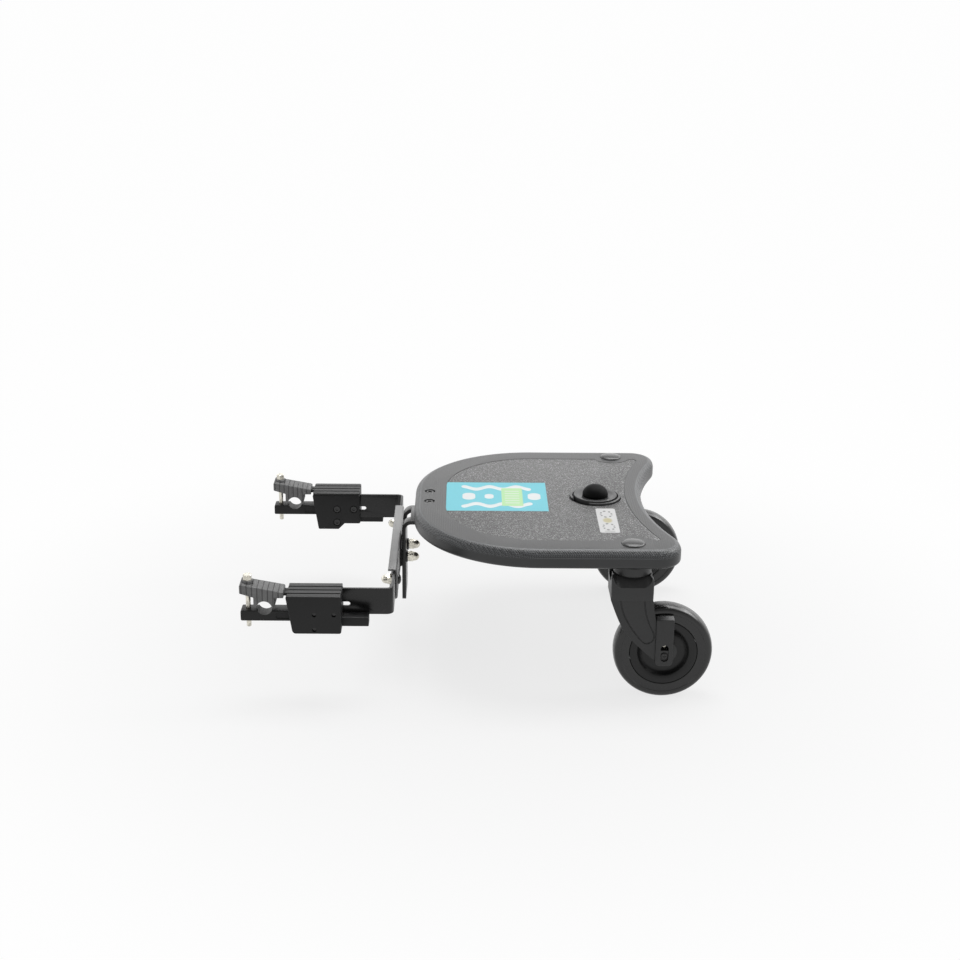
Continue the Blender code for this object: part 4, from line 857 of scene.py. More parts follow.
@dataclass(frozen=True)
class PowderCoat:
    """Black powder coat on steel: a fine orange peel and a few rubbed edges."""

    name: str
    level: float = 0.007
    roughness: float = 0.27
    specular: float = 0.4

    def make(self) -> Material:
        """Builds the material.

        Returns:
            The material.
        """
        sheet = Sheet(self.name)
        peel = sheet.noise(0.9, 2.0, 0.6)
        cloud = sheet.noise(25.0, 3.0)
        rub = sheet.worn(0.56, 0.7) * sheet.noise(3.0, 4.0).ramp(0.5, 0.75)
        tone = sheet.mix(cloud, grey(self.level * 0.8), grey(self.level * 1.3))
        tone = sheet.mix(rub * 0.35, tone, grey(0.10, 0.03))
        return sheet.principled(
            Base_Color=tone,
            Roughness=cloud * 0.1 + peel * 0.06 + (self.roughness - 0.08),
            Specular_IOR_Level=self.specular,
            Normal=sheet.bump(peel, 0.02),
        )


@dataclass(frozen=True)
class ZincPlate:
    """Bright zinc with a faint yellow cast, brushed and finely scratched."""

    name: str
    tint: Tint = (0.78, 0.75, 0.66)

    def make(self) -> Material:
        """Builds the material.

        Returns:
            The material.
        """
        sheet = Sheet(self.name)
        cloud = sheet.noise(4.0, 4.0, 0.6)
        fleck = sheet.noise(0.5, 3.0, 0.7)
        return sheet.principled(
            Base_Color=sheet.mix(cloud.ramp(0.35, 0.75), paint(self.tint), paint(self.tint, 0.55)),
            Roughness=cloud * 0.2 + fleck * 0.12 + 0.12,
            Metallic=1.0,
            Normal=sheet.bump(fleck, 0.012),
        )


@dataclass(frozen=True)
class TyreRubber:
    """Solid tyre rubber: smooth, with fine rings from its mould and a dusty tread."""

    name: str
    centre: Point3
    level: float = 0.014
    tread: float = 60.0

    def make(self) -> Material:
        """Builds the material.

        Returns:
            The material.
        """
        sheet = Sheet(self.name)
        x, _, z = sheet.split(sheet.coords())
        dx, dz = x - self.centre[0], z - self.centre[2]
        radius = (dx * dx + dz * dz).math("SQRT")
        rings = (radius * 6.0).math("SINE")
        scuff = sheet.noise(1.6, 5.0, 0.65)
        dust = radius.ramp(self.tread, self.tread + 2.0) * scuff.ramp(0.42, 0.68)
        tone = sheet.mix(sheet.noise(30.0), grey(self.level * 0.85), grey(self.level * 1.25))
        tone = sheet.mix(dust * 0.6, tone, grey(0.05, 0.03))
        return sheet.principled(
            Base_Color=tone,
            Roughness=dust * 0.3 + scuff * 0.06 + 0.13,
            Normal=sheet.bump(rings * 0.15 + scuff * 0.5, 0.02),
        )


@dataclass(frozen=True)
class GripSheet:
    """Coarse anti-slip sheet: grey grit in black, rough all over."""

    name: str
    dark: float = 0.05
    pale: float = 0.55
    grit: float = 1.2

    def make(self) -> Material:
        """Builds the material.

        Returns:
            The material.
        """
        sheet = Sheet(self.name)
        grit = sheet.cells(self.grit)
        random = sheet.cells(self.grit, "Color")
        pick = sheet.split(random)[0] * MM
        speck = pick.ramp(0.35, 1.0) * (1 - grit.ramp(0.25, 0.6))
        fine = sheet.noise(0.6, 3.0, 0.7)
        cloud = sheet.noise(60.0, 3.0).ramp(0.3, 0.7)
        tone = sheet.mix(speck, grey(self.dark), grey(self.pale))
        tone = sheet.mix(fine.ramp(0.55, 0.75) * 0.4, tone, grey(self.pale * 0.8))
        tone = sheet.mix(cloud * 0.15, tone, grey(self.dark))
        return sheet.principled(
            Base_Color=tone,
            Roughness=fine * 0.2 + 0.42,
            Normal=sheet.bump(speck * 0.7 + fine * 0.3, 0.16),
        )


@dataclass(frozen=True)
class RibbedRubber:
    """Grey rubber with narrow grooves across X, with painted shade in the grooves."""

    name: str
    level: float = 0.2
    pitch: float = 6.5

    def make(self) -> Material:
        """Builds the material.

        Returns:
            The material.
        """
        sheet = Sheet(self.name)
        x, _, _ = sheet.split(sheet.coords())
        rib = (x * (2 * math.pi / self.pitch)).math("SINE").ramp(-1.0, -0.75)
        cloud = sheet.noise(12.0, 4.0)
        fine = sheet.noise(0.7, 2.0)
        tone = sheet.mix(cloud, grey(self.level * 0.8), grey(self.level * 1.25))
        # Painted shade: the grooves are painted darker.
        tone = sheet.mix(1 - rib, tone, grey(self.level * 0.5))
        return sheet.principled(
            Base_Color=tone,
            Roughness=fine * 0.1 + 0.62,
            Specular_IOR_Level=0.25,
            Normal=sheet.bump(rib + fine * 0.1, 0.5),
        )


@dataclass(frozen=True)
class BoardLabel:
    """A printed label: pale waves, dots and a green square on a blue ground."""

    name: str
    centre: Point
    ground: Tint = (0.2, 0.59, 0.68)
    ink: Tint = (0.82, 0.85, 0.85)
    square: Tint = (0.52, 0.8, 0.44)
    line: float = 0.3

    def shape(self, a: Signal, b: Signal, centre: Point, half: Point, radius: float) -> Signal:
        """How far a point is inside a rounded rectangle.

        Args:
            a: first coordinate on the label.
            b: second coordinate on the label.
            centre: the rectangle's centre.
            half: half its length and width.
            radius: its corners' radius.

        Returns:
            1 inside and 0 outside.
        """
        da = (abs(a - centre[0]) - (half[0] - radius)).math("MAXIMUM", 0.0)
        db = (abs(b - centre[1]) - (half[1] - radius)).math("MAXIMUM", 0.0)
        far = (da * da + db * db).math("SQRT")
        return far.ramp(radius - self.line, radius + self.line, 1.0, 0.0)

    def make(self) -> Material:
        """Builds the material.

        Returns:
            The material.
        """
        sheet = Sheet(self.name)
        x, y, _ = sheet.split(sheet.coords())
        a, b = x - self.centre[0], y - self.centre[1]
        sway = (a * (2 * math.pi / 36.0)).math("SINE") * 5.0
        ink = self.shape(a, b + sway, (0.0, 33.0), (47.0, 6.0), 5.5)
        for mark in (
            self.shape(a, b - sway, (0.0, -33.0), (47.0, 6.0), 5.5),
            self.shape(a, b, (-37.0, 0.0), (8.5, 13.0), 8.0),
            self.shape(a, b, (-10.0, 0.0), (6.0, 9.0), 5.8),
            self.shape(a, b, (50.0, 0.0), (8.5, 13.0), 8.0),
        ):
            ink = ink.math("MAXIMUM", mark)
        wear = sheet.noise(2.0, 4.0, 0.7).ramp(0.2, 0.75)
        ground = sheet.mix(wear, paint(self.ground), paint(self.ground, 1.1))
        tone = sheet.mix(ink, ground, paint(self.ink))
        green = self.shape(a, b, (20.6, -2.0), (14.0, 34.0), 2.0)
        tone = sheet.mix(green, tone, paint(self.square))
        bars = (b * (2 * math.pi / 9.0)).math("SINE").ramp(0.1, 0.5)
        inner = self.shape(a, b, (20.6, -2.0), (9.5, 25.0), 2.0)
        tone = sheet.mix(bars * inner * 0.6, tone, paint(self.ink))
        return sheet.principled(
            Base_Color=tone,
            Roughness=wear * 0.1 + 0.5,
            Specular_IOR_Level=0.3,
            Normal=sheet.bump(sheet.noise(0.8, 2.0), 0.02),
        )


@dataclass(frozen=True)
class SmallLabel:
    """A small white label with two rings of grey dots, an ochre spot and two lines."""

    name: str
    centre: Point
    size: Point
    ring: float = 7.0
    dots: int = 9

    def make(self) -> Material:
        """Builds the material.

        Returns:
            The material.
        """
        sheet = Sheet(self.name)
        x, y, _ = sheet.split(sheet.coords())
        a, b = x - self.centre[0], y - self.centre[1]
        up = abs(b) - 0.26 * self.size[1]
        turn = up.math("ARCTAN2", a) * (self.dots / (2 * math.pi))
        along = (turn.math("FRACT") - 0.5) * (2 * math.pi * self.ring / self.dots)
        off = (a * a + up * up * 0.42).math("SQRT") - self.ring
        marks = (along * along + off * off).math("SQRT").ramp(1.0, 1.7, 1.0, 0.0)
        lines = abs(abs(b + 0.45 * self.size[1]) - 1.6).ramp(0.3, 0.7, 1.0, 0.0)
        lines = lines * abs(a).ramp(6.4, 7.0, 1.0, 0.0)
        spot = (a * a + b * b * 0.5).math("SQRT").ramp(4.0, 7.5, 1.0, 0.0)
        wear = sheet.noise(3.0, 4.0, 0.7)
        tone = sheet.mix(wear, grey(0.64), grey(0.74))
        tone = sheet.mix(marks.math("MAXIMUM", lines) * 0.8, tone, grey(0.12))
        tone = sheet.mix(spot * 0.85, tone, (0.50, 0.45, 0.24, 1.0))
        return sheet.principled(
            Base_Color=tone,
            Roughness=wear * 0.15 + 0.45,
            Specular_IOR_Level=0.3,
            Normal=sheet.bump(sheet.noise(0.8, 2.0), 0.02),
        )


class Finishes:
    """The finishes of this board, each made once."""

    def __init__(self) -> None:
        """Makes every finish."""
        self.deck = WovenPlastic("deck_plastic", DECK_TOP).make()
        self.cap = MouldedPlastic("cap_plastic", 0.03, 0.2, grain=1.6, depth=0.02, edge=1.4).make()
        self.rings = MouldedPlastic("socket_plastic", 0.035, 0.36, grain=0.7, depth=0.04, edge=1.4).make()
        self.knob = MouldedPlastic("knob_plastic", 0.003, 0.55, 0.6, 0.03, 1.4, specular=0.07).make()
        self.fork = MouldedPlastic("fork_plastic", 0.014, 0.42, grain=0.9, depth=0.06, edge=1.8).make()
        self.shell = MouldedPlastic("connector_plastic", 0.009, 0.45, 0.9, 0.05, 1.8, specular=0.3).make()
        self.rim = MouldedPlastic("rim_plastic", 0.006, 0.3, 1.2, 0.03, 1.6, specular=0.35).make()
        self.steel = PowderCoat("powder_coat").make()
        self.screw = PowderCoat("black_screw", level=0.012, roughness=0.24, specular=0.5).make()
        self.zinc = ZincPlate("zinc_plate").make()
        # Painted reflection: the channel's black powder coat gets a pale grey base colour that stands in for
        # the white surround reflected in its top.
        self.channel = PowderCoat("pale_powder_coat", level=0.2, roughness=0.34, specular=0.5).make()
        self.grip = GripSheet("grip_sheet").make()
        self.saddle = RibbedRubber("saddle_rubber").make()
        self.tyre = TyreRubber("tyre_rubber", (Caster.x + Caster.trail, 0.0, Caster.wheel_z)).make()
        self.label = BoardLabel("board_label", Deck.label_centre).make()
        self.tag = SmallLabel("small_label", Deck.tag_centre, Deck.tag_size).make()


@dataclass
class SubAssembly:
    """A part of the board that dresses its own pieces."""

    finishes: Finishes


@dataclass
class Deck(SubAssembly):
    """The deck with its grip panel, labels, caps and front screws."""

    front: float = 180.4
    top: float = DECK_TOP
    bottom: float = DECK_BOTTOM
    half_width: float = 193.5
    length: float = 334.6
    edge_top: float = 9.5
    edge_bottom: float = 5.0
    front_flat: float = 36.0
    corner: float = 160.0
    ear: float = 32.0
    blend: float = 22.0
    arc_radius: float = 355.0
    arc_depth: float = 32.0
    skin: float = 4.0
    wall: float = 6.5
    rib: float = 2.6
    rib_pitch: Point = (54.0, 52.0)
    stem_boss: float = 13.0
    socket_bore: float = 26.3
    panel_front: float = 41.6
    panel_side: float = 36.5
    panel_rear: float = 22.5
    panel_corner: float = 119.0
    panel_arc: float = 400.0
    panel_end: float = 6.0
    panel_low: float = 75.1
    panel_high: float = 76.1
    label_centre: Point = (289.0, 0.0)
    label_size: Point = (134.0, 110.0)
    tag_centre: Point = (429.7, -87.1)
    tag_size: Point = (25.2, 86.8)
    scallop: float = 26.0
    cap_radius: float = 14.6
    cap_height: float = 3.4
    screw_mouth: Point = (7.2, 6.8)
    nut_tall: float = 5.0

    @property
    def tip(self) -> float:
        """The ears' rearmost X."""
        return self.front + self.length

    def nose(self, front: float, half: float, corner: float, steps: int) -> list[Point]:
        """Half of a flat front edge, and the quarter oval from it to the side.

        Args:
            front: the edge's X.
            half: Y of the side.
            corner: the oval's length along X.
            steps: steps in the oval.

        Returns:
            The points, from the middle to the side.
        """
        flat = self.front_flat
        oval = Draw.arc((front + corner, flat), corner, 180, 90, steps, (half - flat) / corner)
        return [(front, 0.0), (front, flat / 2), *oval]

    @staticmethod
    def bow(middle: float, radius: float, start: float, first: int) -> list[Point]:
        """A hollow rear edge, in steps from an angle in radians to its middle."""
        angles = [start * (1 - k / 24) for k in range(first, 25)]
        return [(middle - radius * math.cos(angle), radius * math.sin(angle)) for angle in angles]

    def outline(self, inset: float = 0.0) -> list[Point]:
        """The deck seen from above, drawn in by an inset.

        Args:
            inset: the inset in millimetres.

        Returns:
            The outline's points.
        """
        half, tip, radius = self.half_width - inset, self.tip - inset, self.ear - inset
        points = self.nose(self.front + inset, half, self.corner - inset, 40)
        points += Draw.arc((tip - radius, half - radius), radius, 90, 0, 16)
        middle = self.tip - self.arc_depth + self.arc_radius
        bow = self.arc_radius + inset
        turn = math.sqrt(bow**2 - (middle - tip) ** 2)
        below, corner_point = Vector((tip, turn + self.blend / 2)), Vector((tip, turn))
        after_y = turn - self.blend / 2
        after = Vector((middle - math.sqrt(bow**2 - after_y**2), after_y))
        for k in range(9):
            t = k / 8
            mixed = below * (1 - t) ** 2 + corner_point * 2 * t * (1 - t) + after * t**2
            points.append((mixed.x, mixed.y))
        return Draw.mirrored(points + self.bow(middle, bow, math.asin(after_y / bow), 1))

    def panel_outline(self, inset: float = 0.0) -> list[Point]:
        """The grip panel seen from above, drawn in by an inset.

        Args:
            inset: the inset in millimetres.

        Returns:
            The outline's points.
        """
        half = self.half_width - self.panel_side - inset
        points = self.nose(self.front + self.panel_front + inset, half, self.panel_corner - inset, 36)
        middle = self.tip - self.arc_depth - self.panel_rear + self.panel_arc
        bow = self.panel_arc + inset
        points.append((middle - math.sqrt(bow**2 - half**2) - self.panel_end, half))
        begin = math.asin((half - self.panel_end) / bow)
        return Draw.mirrored(points + self.bow(middle, bow, begin, 0))

    def cut_scallops(self, obj: Piece, low: float, length: float, radius: float) -> None:
        """Cuts the rounds that leave room for the caps."""
        for side in Side:
            Bench.drill(obj, Facing.Z, (STEM_X, side.value * STEM_Y, low), length, radius, 96)

    def cut_stepped(
        self, deck: Piece, place: Point, mouth: Point, depth: float, bore: float, steps: int
    ) -> None:
        """Cuts a hole with a wide mouth through the deck.

        Args:
            deck: the deck.
            place: X and Y of the hole.
            mouth: the wide part's radius at its top and at its floor.
            depth: how far the wide part goes below the deck's top.
            bore: the narrow part's radius.
            steps: number of steps round the hole.
        """
        top, low, floor = self.top + 1, self.bottom - 2, self.top - depth
        profile = [(0, top), (mouth[0], top), (mouth[1], floor), (bore, floor), (bore, low), (0, low)]
        Bench.carve(deck, Bench.turned("stepped", profile, Facing.Z, (*place, 0), steps))

    def hollow(self) -> Piece:
        """What is cut from below between the ribs and bosses.

        Returns:
            The cutter.
        """
        cells = Bench.prism("cells", self.outline(self.wall), Facing.Z, self.bottom - 1, self.top - self.skin)
        low, high, half = self.bottom - 2, self.top, self.rib / 2
        pitch_x, pitch_y = self.rib_pitch
        kept = []
        for x in (STEM_X - pitch_x * i for i in range(6)):
            kept.append(Bench.block("rib", (x - half, -220, low), (x + half, 220, high)))
        for y in (pitch_y * i for i in range(-3, 4)):
            kept.append(Bench.block("rib", (100, y - half, low), (600, y + half, high)))
        kept.append(Bench.block("front_block", (150, -30, low), (SCREW_X + 15, 30, high)))
        bosses = [(SOCKET_X, 0, SOCKET_RADIUS + self.rib)]
        bosses += [(STEM_X, side.value * STEM_Y, self.stem_boss) for side in Side]
        for x, y, radius in bosses:
            kept.append(Bench.rod("boss", Facing.Z, (x, y, low), high - low, radius))
        Bench.carve(cells, *kept)
        return cells

    def shell(self) -> None:
        """The moulded deck: rounded outside, ribbed underneath."""
        deck = Bench.prism("deck", self.outline(), Facing.Z, self.bottom, self.top)
        Bench.round_level(deck, self.top, self.edge_top, 8)
        Bench.round_level(deck, self.bottom, self.edge_bottom, 5)
        Bench.carve(deck, self.hollow())
        recess = Bench.prism("recess", self.panel_outline(-GAP), Facing.Z, self.top - 1.5, self.top + 1)
        self.cut_scallops(recess, self.top - 2, 4, self.scallop - GAP)
        Bench.carve(deck, recess)
        wide = SOCKET_RADIUS + GAP
        self.cut_stepped(deck, (SOCKET_X, 0), (wide, wide), 3.8, self.socket_bore, 96)
        wide = self.cap_radius + GAP
        for side in Side:
            place = (STEM_X, side.value * STEM_Y)
            self.cut_stepped(deck, place, (wide, wide), 1.2, STEM_BORE, 64)
            place = (SCREW_X, side.value * SCREW_Y)
            self.cut_stepped(deck, place, self.screw_mouth, 3.2, SCREW_BORE, 48)
        Bench.hand_over(deck, "board", self.finishes.deck, "deck", "platform")

    def panel(self) -> None:
        """The grip panel and the two labels on it."""
        low, high = self.panel_low, self.panel_high
        panel = Bench.prism("panel", self.panel_outline(), Facing.Z, low, high)
        Bench.drill(panel, Facing.Z, (SOCKET_X, 0, low - 1), 3, SOCKET_RADIUS + 0.8, 96)
        self.cut_scallops(panel, low - 1, 3, self.scallop)
        Bench.round_edges(panel, 0.35, 2, 50)
        Bench.hand_over(panel, "board", self.finishes.grip, "grip", "grip_panel")
        labels = (
            ("label", self.label_centre, self.label_size, 1.0, self.finishes.label),
            ("tag", self.tag_centre, self.tag_size, 3.0, self.finishes.tag),
        )
        for name, (x, y), (long, wide), radius, finish in labels:
            outline = Draw.rectangle((x - long / 2, y - wide / 2), (x + long / 2, y + wide / 2), radius)
            label = Bench.prism(name, outline, Facing.Z, high - 0.1, high + 0.15)
            Bench.round_edges(label, 0.05, 1, 50)
            Bench.hand_over(label, "board", finish, "grip")

    def caps(self) -> None:
        """The domed caps over the casters' stems."""
        seat = self.top - 0.9
        dome = Draw.arc((0, 0), self.cap_radius - GAP, 90, 8, 18, 0.19)
        profile = [(0.0, seat), (self.cap_radius, seat), (self.cap_radius, seat + 1.1)]
        lift = self.top + self.cap_height - dome[0][1]
        profile += [(max(a, 0.0), b + lift) for a, b in reversed(dome)]
        cap = Bench.turned("cap", profile, Facing.Z, (STEM_X, -STEM_Y, 0))
        Bench.hand_over_pair(cap, "dome_cap", "board", self.finishes.cap, "black_plastic", "stem_cap")

    def screws(self) -> None:
        """The socket screws at the deck's front, with their nuts below the bracket."""
        low = self.top - 2.9
        nut_top = self.bottom - GAP - BRACKET_THICK - GAP
        profile = [(0.0, low + 2.4), (4.2, low + 2.4)]
        profile += Draw.arc((4.2, low + 1.2), 1.2, 90, 0, 5)
        profile += [(5.4, low), (3.0, low), (3.0, nut_top - 6.0), (0.0, nut_top - 6.0)]
        centre = (SCREW_X, -SCREW_Y)
        screw = Bench.turned("screw", profile, Facing.Z, (*centre, 0.0), 64)
        Bench.punch(screw, Draw.hexagon(centre, KEY_CORNER), Facing.Z, low + 0.6, low + 4)
        outline = Draw.hexagon(centre, NUT_CORNER, 90)
        nut = Bench.prism("nut", outline, Facing.Z, nut_top - self.nut_tall, nut_top)
        Bench.round_edges(nut, 0.35, 2, 50)
        Bench.fuse(screw, nut)
        Bench.hand_over_pair(screw, "deck_screw", "board", self.finishes.screw, "black_steel", "front_screw")

    def build(self) -> None:
        """Builds the deck's pieces."""
        self.shell()
        self.panel()
        self.caps()
        self.screws()


@dataclass
class SeatSocket(SubAssembly):
    """The seat socket in the deck, closed by its plug and knob."""

    x: float = SOCKET_X
    top: float = DECK_TOP
    proud: float = 2.6
    radius: float = SOCKET_RADIUS
    tube: float = 26.0
    bore: float = 23.8
    counterbore: float = 30.6
    seat: float = 1.5
    flange: float = 6.1
    depth: float = 42.0
    plug: float = 28.6
    plug_proud: float = 4.2
    dish: float = 2.0
    knob: float = 17.0
    knob_height: float = 15.0
    latch_top: float = 61.2

    def ring(self) -> None:
        """The flanged tube, with a finger notch and two ledges."""
        top = self.top + self.proud
        seat = self.top - self.seat
        low = self.top - self.depth
        profile = [(self.radius, top - self.flange), (self.radius, top - 0.5)]
        profile += [(self.radius - 0.5, top), (self.counterbore + 0.3, top), (self.counterbore, top - 0.3)]
        profile += [(self.counterbore, seat), (self.bore, seat), (self.bore, low + 0.5)]
        profile += [(self.bore + 0.5, low), (self.tube - 0.5, low), (self.tube, low + 0.5)]
        profile += [(self.tube, top - self.flange)]
        ring = Bench.turned("ring", profile, Facing.Z, (self.x, 0, 0), 120)
        notch = Draw.arc((self.x, 0), self.radius + 1, 203, 252, 20)
        notch += Draw.arc((self.x, 0), 27.6, 252, 182, 24)
        Bench.punch(ring, notch, Facing.Z, top - self.flange - 1, top + 1)
        for sign in (-1, 1):
            low_y, high_y = sorted((sign * (self.bore - 3.4), sign * (self.bore + 1.1)))
            Bench.fuse(ring, Bench.block("ledge", (self.x - 7, low_y, 61.8), (self.x + 7, high_y, 64.8)))
        Bench.hand_over(ring, "board", self.finishes.rings, "deck", "socket_ring")

    def cover(self) -> None:
        """The plug: a disc with a rounded rim and a skirt."""
        top = self.top + self.plug_proud
        floor = self.top - self.seat + GAP
        skirt = self.bore - GAP
        profile = [(5.3, top - self.dish), (self.knob + 1.0, top - self.dish)]
        profile += Draw.arc((self.plug - 3.4, top - 0.3 - 7.0), 7.0, 116, 90, 5, 1.0)
        profile += Draw.arc((self.plug - 0.9, top - 0.9), 0.9, 90, 0, 6)
        profile += [(self.plug, floor), (skirt, floor), (skirt, floor - 8.5), (skirt - 0.6, floor - 9.2)]
        profile += [(skirt - 2.2, floor - 9.2), (skirt - 2.2, floor - 1), (5.3, floor - 1)]
        plug = Bench.turned("plug", profile, Facing.Z, (self.x, 0, 0), 120)
        Bench.hand_over(plug, "plug", self.finishes.rings, "plug_plastic", "socket_plug")

    def handle(self) -> None:
        """The domed knob, with its shaft and latch bar."""
        base = self.top + self.plug_proud - self.dish + GAP
        rise = self.knob_height - 1.5
        profile = [(0.0, self.latch_top - 1), (5.0, self.latch_top - 1), (5.0, base), (self.knob - 1.2, base)]
        profile += Draw.arc((self.knob - 1.0, base + 1.0), 1.0, -90, -10, 4)
        dome = Draw.arc((0, base + 1.5), self.knob, 0, 90, 28, rise / self.knob)
        profile += [(max(a, 0.0), b) for a, b in dome]
        knob = Bench.turned("knob", profile, Facing.Z, (self.x, 0, 0), 96)
        low = (self.x - 22.4, -4.0, self.latch_top - 3)
        bar = Bench.block("bar", low, (self.x + 22.4, 4.0, self.latch_top))
        Bench.round_edges(bar, 0.5, 2, 50)
        Bench.fuse(knob, bar)
        Bench.hand_over(knob, "knob", self.finishes.knob, "black_plastic", "plug_knob")

    def build(self) -> None:
        """Builds the socket's pieces."""
        self.ring()
        self.cover()
        self.handle()


@dataclass
class Fastener:
    """Bolts and cap nuts along X."""

    bolt: float = 3.9
    head: float = 6.5
    head_tall: float = 4.0
    across_flats: float = 13.0
    hex_tall: float = 7.0
    nut_tall: float = 15.0

    @staticmethod
    def turned(name: str, profile: Sequence[Point], way: int, seat: Point3, steps: int) -> Piece:
        """A profile turned about X, with its heights from the seat on the way that the piece points."""
        return Bench.turned(name, [(max(r, 0.0), way * h) for r, h in profile], Facing.X, seat, steps)

    def button(self, y: float, z: float, seat: float, end: float) -> Piece:
        """A button-headed bolt with a hexagon socket.

        Args:
            y: the bolt's Y.
            z: the bolt's Z.
            seat: X of the head's underside.
            end: X of the shank's end.

        Returns:
            The bolt.
        """
        way = 1 if end > seat else -1
        length = abs(end - seat)
        profile = [(0.0, length), (self.bolt - 0.6, length), (self.bolt, length - 0.6), (self.bolt, 0.0)]
        profile += [(self.head, 0.0)]
        profile += Draw.arc((0.0, -0.8), self.head, 0, -90, 12, (self.head_tall - 0.8) / self.head)
        bolt = self.turned("bolt", profile, way, (seat, y, z), 48)
        top = seat - way * self.head_tall
        Bench.punch(bolt, Draw.hexagon((y, z), KEY_CORNER), Facing.X, top - way, top + way * 2.2)
        return bolt

    def cap_nut(self, y: float, z: float, seat: float, way: int) -> Piece:
        """A domed nut with chamfered corners and a blind bore.

        Args:
            y: the nut's Y.
            z: the nut's Z.
            seat: X of its open face.
            way: 1 where it points to +X, and -1 where it points to -X.

        Returns:
            The nut.
        """
        corner, tall, place = self.across_flats / math.sqrt(3), self.hex_tall, (seat, y, z)
        nut = Bench.prism("nut", Draw.hexagon((y, z), corner, 90), Facing.X, seat, seat + way * tall)
        trim = [(0.0, -0.1), (corner - 0.9, -0.1), (corner + 0.1, 0.5), (corner + 0.1, tall - 0.6)]
        trim += [(corner - 0.9, tall + 0.1), (0.0, tall + 0.1)]
        Bench.combine(nut, "INTERSECT", [self.turned("trim", trim, way, place, 48)])
        radius = self.across_flats / 2 - 0.5
        profile = [(0.0, tall - 1), (radius, tall - 1)]
        profile += Draw.arc((0.0, tall + 1.2), radius, 0, 90, 14, (self.nut_tall - tall - 1.2) / radius)
        Bench.fuse(nut, self.turned("dome", profile, way, place, 48))
        bore = [(0.0, -1.0), (BOLT_BORE, -1.0), (BOLT_BORE, 9.0), (0.0, 9.0)]
        Bench.carve(nut, self.turned("bore", bore, way, place, 32))
        return nut


